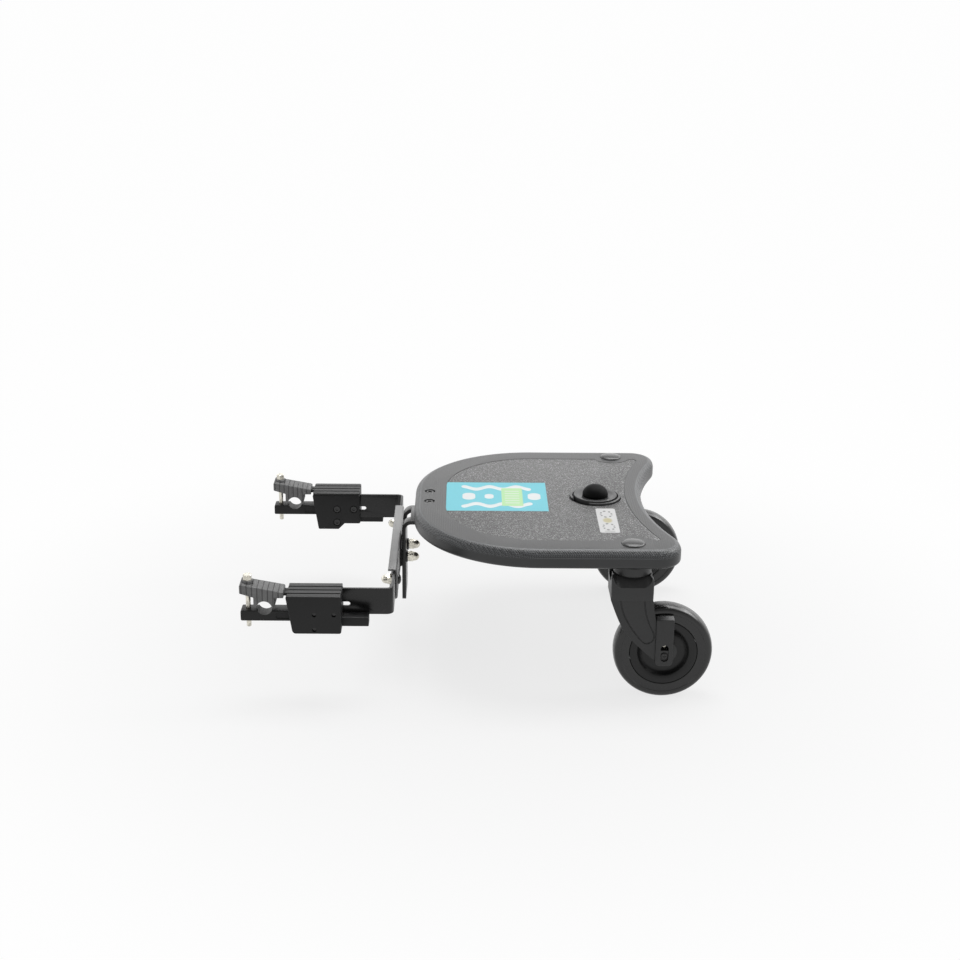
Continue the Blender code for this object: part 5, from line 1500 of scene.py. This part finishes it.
@dataclass
class Hitch(SubAssembly):
    """The bracket under the deck, the cross channel, the arms and their fasteners."""

    channel_x: float = 161.0
    channel_z: float = -1.5
    half_length: float = 117.0
    depth: float = 12.0
    half_tall: float = 20.5
    wall: float = 2.5
    leg_front: float = 163.6
    leg_rear: float = 168.6
    bracket_top: float = 51.6
    half_width: float = 30.0
    bend: float = 12.0
    foot: float = -62.0
    tongue: float = 225.4
    raise_by: float = 45.0
    lower_by: float = 20.0
    bolt_y: float = 22.0
    spacer_half: Point = (29.0, 13.0)
    width_y: float = 100.0
    width_in: float = 40.0
    width_out: float = 8.0
    arm_y: float = 170.0
    arm_thickness: float = 3.5
    arm_tall: float = 35.0
    arm_bend: float = 9.0
    arm_tip: float = 37.0
    arm_foot: float = 88.0
    slot_z: float = -5.0
    slot_half: float = 2.8
    slot_ends: Point = (44.0, 101.3)

    def bracket(self) -> None:
        """The bent bracket with its two height slots, window and bolt holes."""
        thick = self.leg_rear - self.leg_front
        middle = (self.leg_front + self.bend, self.bracket_top - self.bend)
        side = Draw.arc(middle, self.bend, 90, 180, 16)
        side += [(self.leg_front, self.foot), (self.leg_rear, self.foot)]
        side += Draw.arc(middle, self.bend - thick, 180, 90, 14)
        side += [(self.tongue, self.bracket_top - thick), (self.tongue, self.bracket_top)]
        bracket = Bench.prism("bracket", side, Facing.Y, -self.half_width, self.half_width)
        front, back = self.leg_front - 1, self.leg_rear + 1
        for sign in (-1, 1):
            y = sign * self.bolt_y
            ends = (y, self.channel_z - self.raise_by), (y, self.channel_z + self.lower_by)
            Bench.punch(bracket, Draw.stadium(*ends, BOLT_BORE), Facing.X, front, back)
            start = (SCREW_X, sign * SCREW_Y, self.bracket_top - 8)
            Bench.drill(bracket, Facing.Z, start, 10, SCREW_BORE, 32)
            edge, inner = sign * (self.half_width + 1), sign * (self.half_width - 6)
            sweep = (270, 360) if sign > 0 else (270, 180)
            corner = Draw.arc((inner, self.foot + 6), 6, *sweep, 10)
            corner += [(edge, self.foot + 6), (edge, self.foot - 1), (inner, self.foot - 1)]
            Bench.punch(bracket, corner, Facing.X, front, back)
        low, high = self.bracket_top - 14 - thick / 2, self.bracket_top + 1
        window = Draw.rounded([(-14, low, 3), (14, low, 3), (14, high, 0), (-14, high, 0)])
        Bench.punch(bracket, window, Facing.X, front, self.leg_front + self.bend - 1)
        Bench.round_edges(bracket, 0.7, 3, 45)
        Bench.hand_over(bracket, "board", self.finishes.steel, "black_steel", "hitch_bracket")

    def channel(self) -> None:
        """The cross channel and the spacer behind it."""
        lip, web = self.channel_x - self.depth, self.channel_x
        low, high = self.channel_z - self.half_tall, self.channel_z + self.half_tall
        wall = self.wall
        section = [
            (lip, high, 0),
            (web, high, 3),
            (web, low, 3),
            (lip, low, 0),
            (lip, low + wall, 0),
            (web - wall, low + wall, 0.5),
            (web - wall, high - wall, 0.5),
            (lip, high - wall, 0),
        ]
        half, z = self.half_length, self.channel_z
        channel = Bench.prism("channel", Draw.rounded(section), Facing.Y, -half, half)
        for side in Side:
            y = side.value * self.bolt_y
            Bench.drill(channel, Facing.X, (web - 5, y, z), 8, BOLT_BORE, 32)
            inner, outer = self.width_y - self.width_in, self.width_y + self.width_out
            slot = Draw.stadium((side.value * inner, z), (side.value * outer, z), BOLT_BORE)
            Bench.punch(channel, slot, Facing.X, web - 5, web + 3)
        Bench.round_edges(channel, 0.5, 2, 45)
        # The channel's finish carries a painted reflection in its pale base colour.
        Bench.hand_over(channel, "hitch", self.finishes.channel, "black_steel", "cross_channel")
        long, tall = self.spacer_half
        outline = Draw.rectangle((-long, z - tall), (long, z + tall), 4)
        spacer = Bench.prism("spacer", outline, Facing.X, web + GAP, web + 2.3)
        for side in Side:
            Bench.drill(spacer, Facing.X, (web, side.value * self.bolt_y, z), 4, BOLT_BORE, 32)
        Bench.round_edges(spacer, 0.3, 2, 45)
        Bench.hand_over(spacer, "hitch", self.finishes.shell, "black_plastic", "spacer_plate")

    def arms(self) -> None:
        """The arms, which lie in the channel and run forward into the connectors."""
        outer, inner = -self.arm_y - self.arm_thickness / 2, -self.arm_y + self.arm_thickness / 2
        back = self.channel_x - self.wall - GAP
        front = back - self.arm_thickness
        middle = (back - self.arm_bend, outer + self.arm_bend)
        plan = Draw.arc(middle, self.arm_bend, 0, -90, 14)
        plan += [(self.arm_tip, outer), (self.arm_tip, inner)]
        plan += Draw.arc(middle, self.arm_bend - self.arm_thickness, -90, 0, 12)
        plan += [(front, -self.arm_foot), (back, -self.arm_foot)]
        half = self.arm_tall / 2
        arm = Bench.prism("arm", plan, Facing.Z, self.channel_z - half, self.channel_z + half)
        Bench.drill(arm, Facing.X, (front - 1, -self.width_y, self.channel_z), 6, BOLT_BORE, 32)
        first, last = self.slot_ends
        slot = Draw.stadium((first, self.slot_z), (last, self.slot_z), self.slot_half)
        Bench.punch(arm, slot, Facing.Y, outer - 1, inner + 1)
        Bench.round_edges(arm, 0.5, 2, 45)
        Bench.hand_over_pair(arm, "side_arm", "arm_{}", self.finishes.steel, "black_steel", "arm")

    def fasteners(self) -> None:
        """The height bolts and the width bolts, with their nuts and washers."""
        kit = Fastener()
        screw, zinc = self.finishes.screw, self.finishes.zinc
        z = self.channel_z
        seat = self.channel_x - self.wall - GAP
        washer_x = self.leg_rear + GAP
        nut_x = washer_x + 2.3
        bolt = kit.button(-self.bolt_y, z, seat, nut_x + 8)
        Bench.hand_over_pair(bolt, "leg_bolt", "hitch", screw, "zinc", "height_bolt")
        profile = [(BOLT_BORE, 0.0), (7.7, 0.0), (8.0, 0.3), (8.0, 1.7), (7.7, 2.0), (BOLT_BORE, 2.0)]
        washer = Bench.turned("washer", profile, Facing.X, (washer_x, -self.bolt_y, z), 48)
        Bench.hand_over_pair(washer, "leg_washer", "hitch", screw, "black_steel", "height_washer")
        nut = kit.cap_nut(-self.bolt_y, z, nut_x, 1)
        Bench.hand_over_pair(nut, "leg_nut", "hitch", zinc, "zinc", "height_nut")
        nut_x = seat - self.arm_thickness - GAP
        bolt = kit.button(-self.width_y, z, self.channel_x + GAP, nut_x - 8)
        Bench.hand_over_pair(bolt, "arm_bolt", "arm_{}", screw, "black_steel", "width_bolt")
        nut = kit.cap_nut(-self.width_y, z, nut_x, -1)
        Bench.hand_over_pair(nut, "arm_nut", "arm_{}", zinc, "zinc", "width_nut")

    def build(self) -> None:
        """Builds the hitch's pieces."""
        self.bracket()
        self.channel()
        self.arms()
        self.fasteners()


@dataclass
class AxleClamp(SubAssembly):
    """A connector on an arm, with the saddle and jaw that grip the axle."""

    front: float = 27.0
    rear: float = 95.0
    top: float = 19.3
    bottom: float = -30.4
    inner: float = 172.05
    outer: float = 207.05
    plate_outer: float = 167.95
    plate_inner: float = 162.95
    arm_top: float = 16.0
    middle_y: float = 186.2
    saddle_inner: float = 172.4
    saddle_outer: float = 200.0
    bore: float = 9.8
    bolt_x: float = -21.0
    boss_top: float = 33.0
    jaw_top: float = -4.5
    jaw_tall: float = 13.5
    screw_x: float = 62.0
    screw_z: float = -5.0
    screw_bore: float = 2.8
    screw_head: float = 5.6
    key_corner: float = 2.3

    def screw_places(self) -> list[Point]:
        """The connector's screws, as (X, Z)."""
        x, z = self.screw_x, self.screw_z
        return [(x, z), (x + 24.3, z), (x, z - 20.0)]

    def tongue(self, spare: float, rear: float) -> list[Point]:
        """The tongue's side outline, drawn out by a clearance."""
        low, high, tip = 15.4 - spare, 19.0 + spare, -26.0 - spare
        return [(rear, low), (rear, high), (-13, high), (tip, high + 5), (tip, low + 5), (-13, low)]

    def bolt_hole(self) -> Piece:
        """The clamp bolt's hole, through saddle, tongue and jaw."""
        return Bench.rod("bolt_hole", Facing.Z, (self.bolt_x, -self.middle_y, -35), 75, SCREW_BORE, 32)

    def axle_bore(self) -> Piece:
        """The space for the axle."""
        return Bench.rod("axle_bore", Facing.Y, (0, -self.saddle_outer - 1, 0), 30, self.bore, 64)

    def shell(self) -> None:
        """The connector's outer shell, with its grooved roof, toe and tongue."""
        side = [
            (self.front, self.top, 2.2),
            (self.front + 8, self.bottom, 5),
            (self.rear, self.bottom, 2.5),
            (self.rear, self.top, 2.2),
        ]
        shell = Bench.prism("shell", Draw.rounded(side), Facing.Y, -self.outer, -self.inner)
        Bench.round_edges(shell, 1.2, 3, 50)
        roof = Bench.block(
            "roof",
            (self.front + 1, -self.inner - 2, self.arm_top + GAP),
            (self.rear - 0.5, -self.plate_inner, self.top - 0.1),
        )
        Bench.round_edges(roof, 0.6, 2, 50)
        toe = Bench.block("toe", (self.rear - 3, -self.inner - 18, -27.5), (128.0, -self.inner, -15.5))
        Bench.round_edges(toe, 1.0, 3, 50)
        middle, top = -self.middle_y, self.top
        outline = self.tongue(0.0, self.front + 3)
        Bench.fuse(shell, roof, toe, Bench.prism("tongue", outline, Facing.Y, middle - 8, middle + 8))
        pitch = (self.outer - self.plate_inner) / 4
        for i in range(3):
            y = -self.plate_inner - pitch * (i + 1)
            section = [(y - 1.9, top + 1), (y - 1.0, top - 1.3), (y + 1.0, top - 1.3), (y + 1.9, top + 1)]
            Bench.punch(shell, section, Facing.X, self.front - 2, self.rear + 2)
        low = (self.front - 3, middle - 10.3, self.jaw_top - self.jaw_tall - 8.3)
        pocket = Bench.block("pocket", low, (43.3, middle + 10.3, self.jaw_top + GAP))
        Bench.carve(shell, pocket, self.bolt_hole())
        for x, z in self.screw_places():
            Bench.drill(shell, Facing.Y, (x, -self.outer - 1, z), 40, self.screw_bore, 32)
        finish = self.finishes.shell
        Bench.hand_over_pair(shell, "connector", "connector_{}", finish, "black_plastic", "shell")

    def plate(self) -> None:
        """The connector's inner plate and its screws."""
        corners = [
            (self.front, self.arm_top, 1.5),
            (self.front + 8, -35.5, 2),
            (64.0, -35.5, 2),
            (74.0, -25.5, 2),
            (self.rear, -25.5, 1.5),
            (self.rear, self.arm_top, 1.5),
        ]
        plate = Bench.prism("plate", Draw.rounded(corners), Facing.Y, -self.plate_outer, -self.plate_inner)
        Bench.round_edges(plate, 0.6, 2, 50)
        for i, (x, z) in enumerate(self.screw_places(), 1):
            Bench.drill(plate, Facing.Y, (x, -self.plate_outer - 1, z), 8, self.screw_bore, 32)
            Bench.drill(plate, Facing.Y, (x, -self.plate_inner - 2.4, z), 4, self.screw_head, 48)
            end = -(self.outer - self.plate_inner - 2.4 - GAP - 2.0)
            profile = [(0.0, end), (2.5, end), (2.5, 0.0), (4.8, 0.0), (4.8, 1.7), (4.4, 2.1), (0.0, 2.1)]
            seat = -self.plate_inner - 2.1
            screw = Bench.turned("screw", profile, Facing.Y, (x, seat, z), 48)
            Bench.punch(screw, Draw.hexagon((x, z), self.key_corner), Facing.Y, seat + 0.7, seat + 4)
            stem, node = f"connector_screw_{i}", f"hex_screw_{i}"
            Bench.hand_over_pair(screw, stem, "connector_{}", self.finishes.screw, "black_steel", node)
        shell = self.finishes.shell
        Bench.hand_over_pair(plate, "connector_plate", "connector_{}", shell, "black_plastic", "plate")

    def saddle(self) -> None:
        """The rubber saddle over the axle."""
        side = [
            (-30.0, 31.5, 2.0),
            (-30.0, 19.7, 1.5),
            (-13.0, 14.5, 1.0),
            (-13.0, 1.5, 1.0),
            (13.0, 1.5, 1.0),
            (13.0, 14.0, 1.0),
            (24.0, 14.0, 1.0),
            (24.0, 21.5, 1.5),
        ]
        saddle = Bench.prism("saddle", Draw.rounded(side), Facing.Y, -self.saddle_outer, -self.saddle_inner)
        Bench.round_edges(saddle, 1.0, 3, 50)
        start = (self.bolt_x, -self.middle_y, 20.7)
        boss = Bench.rod("boss", Facing.Z, start, self.boss_top - start[2], 7.5)
        Bench.round_edges(boss, 0.6, 2, 50)
        Bench.fuse(saddle, boss)
        across = (-self.middle_y - 8.3, -self.middle_y + 8.3)
        sleeve = Bench.prism("sleeve", self.tongue(GAP, 25.0), Facing.Y, *across)
        Bench.carve(saddle, self.axle_bore(), sleeve, self.bolt_hole())
        rubber = self.finishes.saddle
        Bench.hand_over_pair(saddle, "saddle_pad", "connector_{}", rubber, "saddle_rubber", "saddle")

    def jaw(self) -> None:
        """The jaw bar below the axle and the bolt that draws it up."""
        low = self.jaw_top - self.jaw_tall
        corners = [(-30, self.jaw_top, 2), (-30, low, 2), (43, low, 2), (43, self.jaw_top, 2)]
        across = (-self.middle_y - 10, -self.middle_y + 10)
        jaw = Bench.prism("jaw", Draw.rounded(corners), Facing.Y, *across)
        Bench.round_edges(jaw, 1.0, 3, 50)
        foot, head = low + 3, self.jaw_top - 3
        for y in (across[0] - 1, across[1] - 1):
            relief = [(14, foot, 1.5), (14, head, 1.5), (38, head, 1.5), (38, foot, 1.5)]
            Bench.punch(jaw, Draw.rounded(relief), Facing.Y, y, y + 2)
        Bench.carve(jaw, self.axle_bore(), self.bolt_hole())
        Bench.hand_over_pair(jaw, "jaw_bar", "jaw_{}", self.finishes.shell, "black_plastic", "jaw")
        seat = self.boss_top + GAP
        outline = Draw.hexagon((self.bolt_x, -self.middle_y), NUT_CORNER, 90)
        bolt = Bench.prism("bolt", outline, Facing.Z, seat, seat + 7)
        trim = [(0.0, -0.1), (5.9, -0.1), (5.9, 6.4), (4.9, 7.1), (0.0, 7.1)]
        place = (self.bolt_x, -self.middle_y, seat)
        Bench.combine(bolt, "INTERSECT", [Bench.turned("trim", trim, Facing.Z, place, 48)])
        end = low - 11.0 - seat
        shank = [(0.0, end), (2.5, end), (3.0, end + 0.6), (3.0, 1.0), (0.0, 1.0)]
        Bench.fuse(bolt, Bench.turned("shank", shank, Facing.Z, place, 32))
        Bench.hand_over_pair(bolt, "jaw_bolt", "connector_{}", self.finishes.zinc, "zinc", "clamp_bolt")

    def build(self) -> None:
        """Builds both clamps' pieces."""
        self.shell()
        self.plate()
        self.saddle()
        self.jaw()


@dataclass
class Caster(SubAssembly):
    """A sprung swivel caster under the deck's ear."""

    x: float = STEM_X
    y: float = STEM_Y
    trail: float = 42.0
    wheel_z: float = -66.0
    collar_top: float = 51.6
    crown_top: float = 39.3
    crown_tall: float = 32.4
    horn: float = 2.2
    shoulder: float = 12.3
    half_width: float = 24.5
    top_half: float = 14.0
    front: float = 27.3
    rear: float = 25.3
    leg_inner: float = 15.5
    leg_outer: float = 22.0
    guide_outer: float = 24.5
    guide_top: float = 52.8
    boss: float = 15.5
    slot_travel: float = 8.5
    groove: float = 0.9

    @property
    def wheel_x(self) -> float:
        """The wheel's centre along X."""
        return self.x + self.trail

    @property
    def low(self) -> float:
        """The crown's lower edge."""
        return self.crown_top - self.crown_tall

    def collar(self) -> None:
        """The collar between the deck and the fork."""
        top, low = self.collar_top, self.collar_top - 12.0
        profile = [(STEM_BORE, top), (24.0, top), (23.9, top - 1.0), (23.5, low + 1.4), (22.4, low)]
        profile += [(STEM_BORE, low)]
        collar = Bench.turned("collar", profile, Facing.Z, (self.x, -self.y, 0))
        Bench.hand_over_pair(collar, "stem_collar", "board", self.finishes.fork, "black_plastic", "collar")

    def scoop(self, sign: int) -> Piece:
        """What is cut from the crown's shoulder on one side: it falls outwards between the horns.

        Args:
            sign: -1 for the outer side, and 1 for the inner one.

        Returns:
            The cutter.
        """
        front, rear, top = self.x - self.front + 2, self.x + self.rear - 2, self.crown_top
        view = [(front, top, 11), (rear, top, 11), (rear, top + 30, 0), (front, top + 30, 0)]
        pivot = -self.y + sign * self.top_half
        ends = (pivot - sign * 4, pivot + sign * 24.5)
        scoop = Bench.prism("scoop", Draw.rounded(view, 10), Facing.Y, *ends)
        slope = math.degrees(math.atan2(self.shoulder, self.half_width - self.top_half))
        Bench.tilt(scoop, -sign * slope, Facing.X, (self.x, pivot, top))
        return scoop

    def crown(self) -> Piece:
        """The crown: four low horns round the collar, and sides that draw in to the legs.

        Returns:
            The crown.
        """
        y, top, low = -self.y, self.crown_top, self.low
        front, rear, high = self.x - self.front, self.x + self.rear, top + self.horn
        view = [(front, low, 0), (rear, low, 0), (rear, high, 7), (front, high, 4)]
        crown = Bench.prism("fork", Draw.rounded(view), Facing.Y, y - self.half_width, y + self.half_width)
        for sign in (-1, 1):
            face = y + sign * (self.half_width + 0.2)
            taper = [(y + sign * self.leg_outer, low - 1), (face, low - 1), (face, low + 13)]
            Bench.punch(crown, taper, Facing.X, front - 1, rear + 1)
        Bench.round_edges(crown, 2.4, 4, 20)
        Bench.drill(crown, Facing.Z, (self.x, y, top), 6, 26.0, 96)
        Bench.carve(crown, self.scoop(-1), self.scoop(1))
        dip = [(y - 15, top - 8.3, 5), (y + 15, top - 8.3, 5), (y + 15, top + 6, 0), (y - 15, top + 6, 0)]
        ends = Bench.prism("dip", Draw.rounded(dip), Facing.X, front - 1, rear + 1)
        Bench.drill(ends, Facing.Z, (self.x, y, top - 12), 24, 25.0, 96)
        Bench.carve(crown, ends)
        return crown

    def leg_outline(self) -> list[Point]:
        """A leg from the side: swept back from the crown to the boss.

        Returns:
            The outline's points, as (X, Z).
        """
        z, t = self.wheel_z, self.trail
        run = [
            (-self.front, self.low + 2),
            (-26.2, z + 72.0),
            (-22.9, z + 62.9),
            (-17.9, z + 50.3),
            (-13.6, z + 41.2),
            (-8.8, z + 32.6),
            (-0.7, z + 22.4),
            (7.4, z + 13.9),
            (17.9, z + 4.1),
            (27.2, z - 4.4),
        ]
        back = [(t - 11.1, z + 44.6), (t - 13.2, z + 53.0), (t - 15.0, z + 62.7), (self.rear, self.low + 2)]
        points = Draw.curve(run, 5) + Draw.arc((t, z + 5.5), self.boss, 228, 404, 40)
        points += [(t + 9.7, z + 24.0), (t - 10.6, z + 26.0)] + Draw.curve(back, 5)
        return [(self.x + a, b) for a, b in points]

    def guide(self) -> Piece:
        """The outer axle guide: an upright block with a slanted top and rounded lower corners.

        Returns:
            The guide.
        """
        x, z, y = self.wheel_x, self.wheel_z, -self.y
        front, rear, low, top = x - 11.6, x + 10.7, z - 13.2, z + self.guide_top
        view = Draw.rounded([(front, low, 6), (rear, low, 6), (rear, top, 0), (front, top, 0)], 8)
        guide = Bench.prism("guide", view, Facing.Y, y - self.guide_outer, y - self.leg_inner - 0.5)
        slope = [(y - self.leg_inner, top + 0.2), (y - 25.5, top - 3.8), (y - 25.5, top + 1)]
        Bench.punch(guide, slope, Facing.X, x - 13, x + 12)
        Bench.round_edges(guide, 1.1, 3, 50)
        return guide

    def leg(self) -> Piece:
        """The outer leg with its guide, pocket and axle slot.

        Returns:
            The leg.
        """
        y = -self.y
        face = y - self.leg_outer
        leg = Bench.prism("leg", self.leg_outline(), Facing.Y, face, y - self.leg_inner)
        Bench.round_edges(leg, 1.3, 3, 50)
        run = [
            (14.3, 79.0),
            (14.9, 70.0),
            (16.9, 57.5),
            (20.8, 45.2),
            (25.4, 34.9),
            (27.9, 28.4),
            (27.4, 22.4),
            (23.6, 18.2),
            (18.6, 16.9),
            (13.6, 19.9),
            (6.9, 27.4),
            (-0.8, 38.3),
            (-7.9, 50.6),
            (-12.8, 63.0),
            (-15.8, 79.0),
        ]
        path = [(self.x + a, face, self.wheel_z + b) for a, b in run]
        Bench.carve(leg, Bench.tube("groove", Draw.spline(path, 5), self.groove))
        Bench.fuse(leg, self.guide())
        x, z = self.wheel_x, self.wheel_z
        low, high = (x - 5.3, y - 22.5, z - 6.3), (x + 5.3, y - self.leg_inner + 1, z + self.guide_top - 10.5)
        Bench.carve(leg, Bench.block("pocket", low, high))
        slot = Draw.stadium((x, z - 2.0), (x, z + self.slot_travel + 2.0), 5.0)
        Bench.punch(leg, slot, Facing.Y, y - self.guide_outer - 1, y - 21.5)
        return leg

    def fork(self) -> None:
        """The fork: its crown and two legs."""
        fork = self.crown()
        outer = self.leg()
        inner = Bench.twin(outer, "inner_leg", -self.y)
        Bench.fuse(fork, outer, inner)
        start = (self.x, -self.y, self.crown_top - 20)
        Bench.drill(fork, Facing.Z, start, 22, STEM_BORE, 32)
        Bench.hand_over_pair(fork, "swivel_fork", "caster_{}", self.finishes.fork, "black_plastic", "fork")

    def wheel(self) -> None:
        """The wheel: a dished rim in a solid tyre with a stepped side wall."""
        centre = (self.wheel_x, -self.y, self.wheel_z)
        dish = [(12.9, 6.0), (15.5, 5.3), (23.5, 5.0), (27.6, 6.0), (30.4, 8.4), (32.8, 11.2), (36.2, 12.5)]
        upper = [(4.3, 14.9), (10.9, 14.9), (11.8, 14.2)] + Draw.curve(dish, 4)
        upper += [(41.4, 12.8), (42.1, 12.5), (42.5, 11.8)]
        profile = upper + [(r, -h) for r, h in reversed(upper)]
        rim = Bench.turned("rim", profile, Facing.Y, centre, 128)
        Bench.hand_over_pair(rim, "wheel_rim", "wheel_{}", self.finishes.rim, "rim", "rim")
        side = [(42.8, 11.6), (43.1, 12.5), (43.9, 13.0), (45.2, 13.1), (52.2, 13.0), (52.9, 13.1)]
        side += [(53.4, 13.6)] + Draw.arc((54.7, 6.75), 7.0, 88, 12, 12)
        side += [(62.1, 6.2), (62.4, 3.6), (62.5, 0.0)]
        profile = side + [(r, -h) for r, h in reversed(side) if h > 1e-6]
        tyre = Bench.turned("tyre", profile, Facing.Y, centre, 160)
        Bench.hand_over_pair(tyre, "wheel_tyre", "wheel_{}", self.finishes.tyre, "tyre", "tyre")

    def axle_screw(self) -> None:
        """The cross-headed screw in the axle's outer end."""
        seat = (self.wheel_x, -self.y - 22.5, self.wheel_z)
        profile = [(0.0, 7.0), (2.0, 7.0), (2.0, 0.0), (4.4, 0.0)]
        profile += Draw.arc((0.0, -0.4), 4.4, 0, -90, 10, 1.4 / 4.4)
        screw = Bench.turned("screw", [(max(r, 0.0), h) for r, h in profile], Facing.Y, seat, 48)
        x, y, z = seat
        for a, b in ((2.4, 0.5), (0.5, 2.4)):
            Bench.carve(screw, Bench.block("cross", (x - a, y - 3, z - b), (x + a, y - 0.7, z + b)))
        finish = self.finishes.screw
        Bench.hand_over_pair(screw, "cross_screw", "axle_{}", finish, "black_steel", "axle_screw")

    def build(self) -> None:
        """Builds both casters' pieces."""
        self.collar()
        self.fork()
        self.wheel()
        self.axle_screw()


@dataclass
class Studio:
    """The pale floor, the soft light and the camera."""

    floor_z: float = -128.5
    floor_size: float = 60.0
    camera_at: Point3 = (243.14, -2002.0, 808.07)
    pitch: float = 0.331
    yaw: float = -0.0012
    roll: float = 0.0059
    lens: float = 59.92
    shift: Point = (0.0202, -0.0156)
    sky: float = 0.5
    back: float = 1.58
    ceiling: float = 4.5
    overhead: float = 20.0

    def floor(self) -> None:
        """A large floor that shows white to the camera but keeps the object's shadow; its glow is weaker near
        the board, which paints the floor a little darker there.
        """
        Bench.free()
        bpy.ops.mesh.primitive_plane_add(size=self.floor_size, location=(0.3, 0.0, self.floor_z * MM))
        floor = bpy.context.active_object
        floor.name = "studio_floor"
        sheet = Sheet("studio_floor")
        seen = self.seen(sheet)
        x, y, _ = sheet.split(sheet.coords())
        # Painted shade: the glow share is lower near the board, so the floor is painted darker round it and
        # its real shadow shows there too.
        far = (x * x + y * y).math("SQRT").ramp(200.0, 900.0, 0.76, 0.98)
        diffuse = sheet.node("ShaderNodeBsdfDiffuse", None, {"Color": grey(0.8)})
        glow = sheet.node("ShaderNodeEmission", None, {"Color": grey(1.0), "Strength": 1.0})
        sheet.node_out(sheet.node("ShaderNodeMixShader", None, {0: seen * far, 1: diffuse, 2: glow}))
        floor.data.materials.append(sheet.material)

    @staticmethod
    def seen(sheet: Sheet) -> Signal:
        """1 for camera, glossy and transmission rays, and 0 for others.

        Args:
            sheet: the sheet that it is for.

        Returns:
            The result.
        """
        path = sheet.node("ShaderNodeLightPath").socket.node.outputs
        camera, glossy = Signal(sheet, path["Is Camera Ray"]), Signal(sheet, path["Is Glossy Ray"])
        through = Signal(sheet, path["Is Transmission Ray"])
        return camera.math("MAXIMUM", glossy).math("MAXIMUM", through)

    def world(self) -> None:
        """A surround that is white to the camera, with a brighter back, ceiling and right for gloss alone."""
        sheet = Sheet("studio", world=True)
        heading = sheet.node("ShaderNodeTexCoord", output="Generated")
        aside, along, up = (part * MM for part in sheet.split(heading))
        glossy = sheet.node("ShaderNodeLightPath", output="Is Glossy Ray")
        camera = sheet.node("ShaderNodeLightPath", output="Is Camera Ray")
        plain = along.ramp(-0.6, 0.5, self.sky * 0.8, self.sky)
        gloss = along.ramp(-0.6, 0.5, 0.75, self.back) * up.ramp(0.38, 0.6, 1.0, 0.4)
        shade = up.ramp(0.62, 0.75) * up.ramp(0.93, 0.99, 1.0, 0.3)
        shade = shade * along.ramp(-0.1, 0.1) * aside.ramp(-0.5, 0.05, 0.1, 1.0)
        right = aside.ramp(0.38, 0.55) * up.ramp(0.35, 0.5) * along.ramp(-0.35, 0.0)
        gloss = gloss + shade.math("MAXIMUM", right) * self.ceiling
        light = plain * (1 - glossy) + gloss * glossy
        strength = light.math("MAXIMUM", camera)
        sheet.node_out(sheet.node("ShaderNodeBackground", None, {"Color": grey(0.985), "Strength": strength}))
        bpy.context.scene.world = sheet.material

    def lights(self) -> None:
        """A soft lamp above, one at the front and a small one to the right."""
        lamps = (
            ("overhead", (0.35, 0.25, 2.2), (1.3, 1.0), self.overhead),
            ("front_left", (-1.6, -1.8, 1.4), (1.2, 1.0), 3.0),
            ("right", (2.0, 0.35, 1.45), (0.5, 0.5), 6.0),
        )
        for name, place, size, power in lamps:
            lamp = bpy.data.lights.new(name, "AREA")
            lamp.shape = "RECTANGLE"
            lamp.size, lamp.size_y = size
            lamp.energy = power
            obj = bpy.data.objects.new(name, lamp)
            bpy.context.scene.collection.objects.link(obj)
            obj.location = place
            aim = Vector((0.3, 0.0, 0.0)) - Vector(place)
            obj.rotation_euler = aim.to_track_quat("-Z", "Y").to_euler()
            obj.visible_camera = False

    def camera(self) -> None:
        """The photograph's camera, and the view settings."""
        data = bpy.data.cameras.new("camera")
        data.sensor_width = 36.0
        data.lens = self.lens
        data.shift_x, data.shift_y = self.shift
        data.clip_end = 100.0
        camera = bpy.data.objects.new("camera", data)
        bpy.context.scene.collection.objects.link(camera)
        flat = math.cos(self.pitch)
        forward = Vector((math.sin(self.yaw) * flat, math.cos(self.yaw) * flat, -math.sin(self.pitch)))
        level = Vector((math.cos(self.yaw), -math.sin(self.yaw), 0.0))
        upright = level.cross(forward)
        right = level * math.cos(self.roll) + upright * math.sin(self.roll)
        up = upright * math.cos(self.roll) - level * math.sin(self.roll)
        turn = Matrix((right, up, -forward)).transposed().to_4x4()
        camera.matrix_world = Matrix.Translation(Vector(self.camera_at) * MM) @ turn
        bpy.context.scene.camera = camera
        bpy.context.scene.view_settings.view_transform = "Standard"

    def build(self) -> None:
        """Builds the studio."""
        self.floor()
        self.world()
        self.lights()
        self.camera()


def refinish(nodes: Mapping[str, Material]) -> None:
    """Gives CAD nodes that stay as they are their finishes.

    Args:
        nodes: each node's name and its material.
    """
    for name, material in nodes.items():
        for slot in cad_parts[name].material_slots:
            slot.material = material


def main() -> None:
    """Builds the studio, the finishes and every sub-assembly."""
    Studio().build()
    finishes = Finishes()
    for kind in (Deck, SeatSocket, Hitch, AxleClamp, Caster):
        kind(finishes).build()
    for side in Side:
        refinish({f"{node}_{side.word}": finishes.zinc for node in ("stem", "spring_outer", "spring_inner")})
        refinish({f"axle_{side.word}": finishes.screw})


if __name__ == "__main__":
    main()
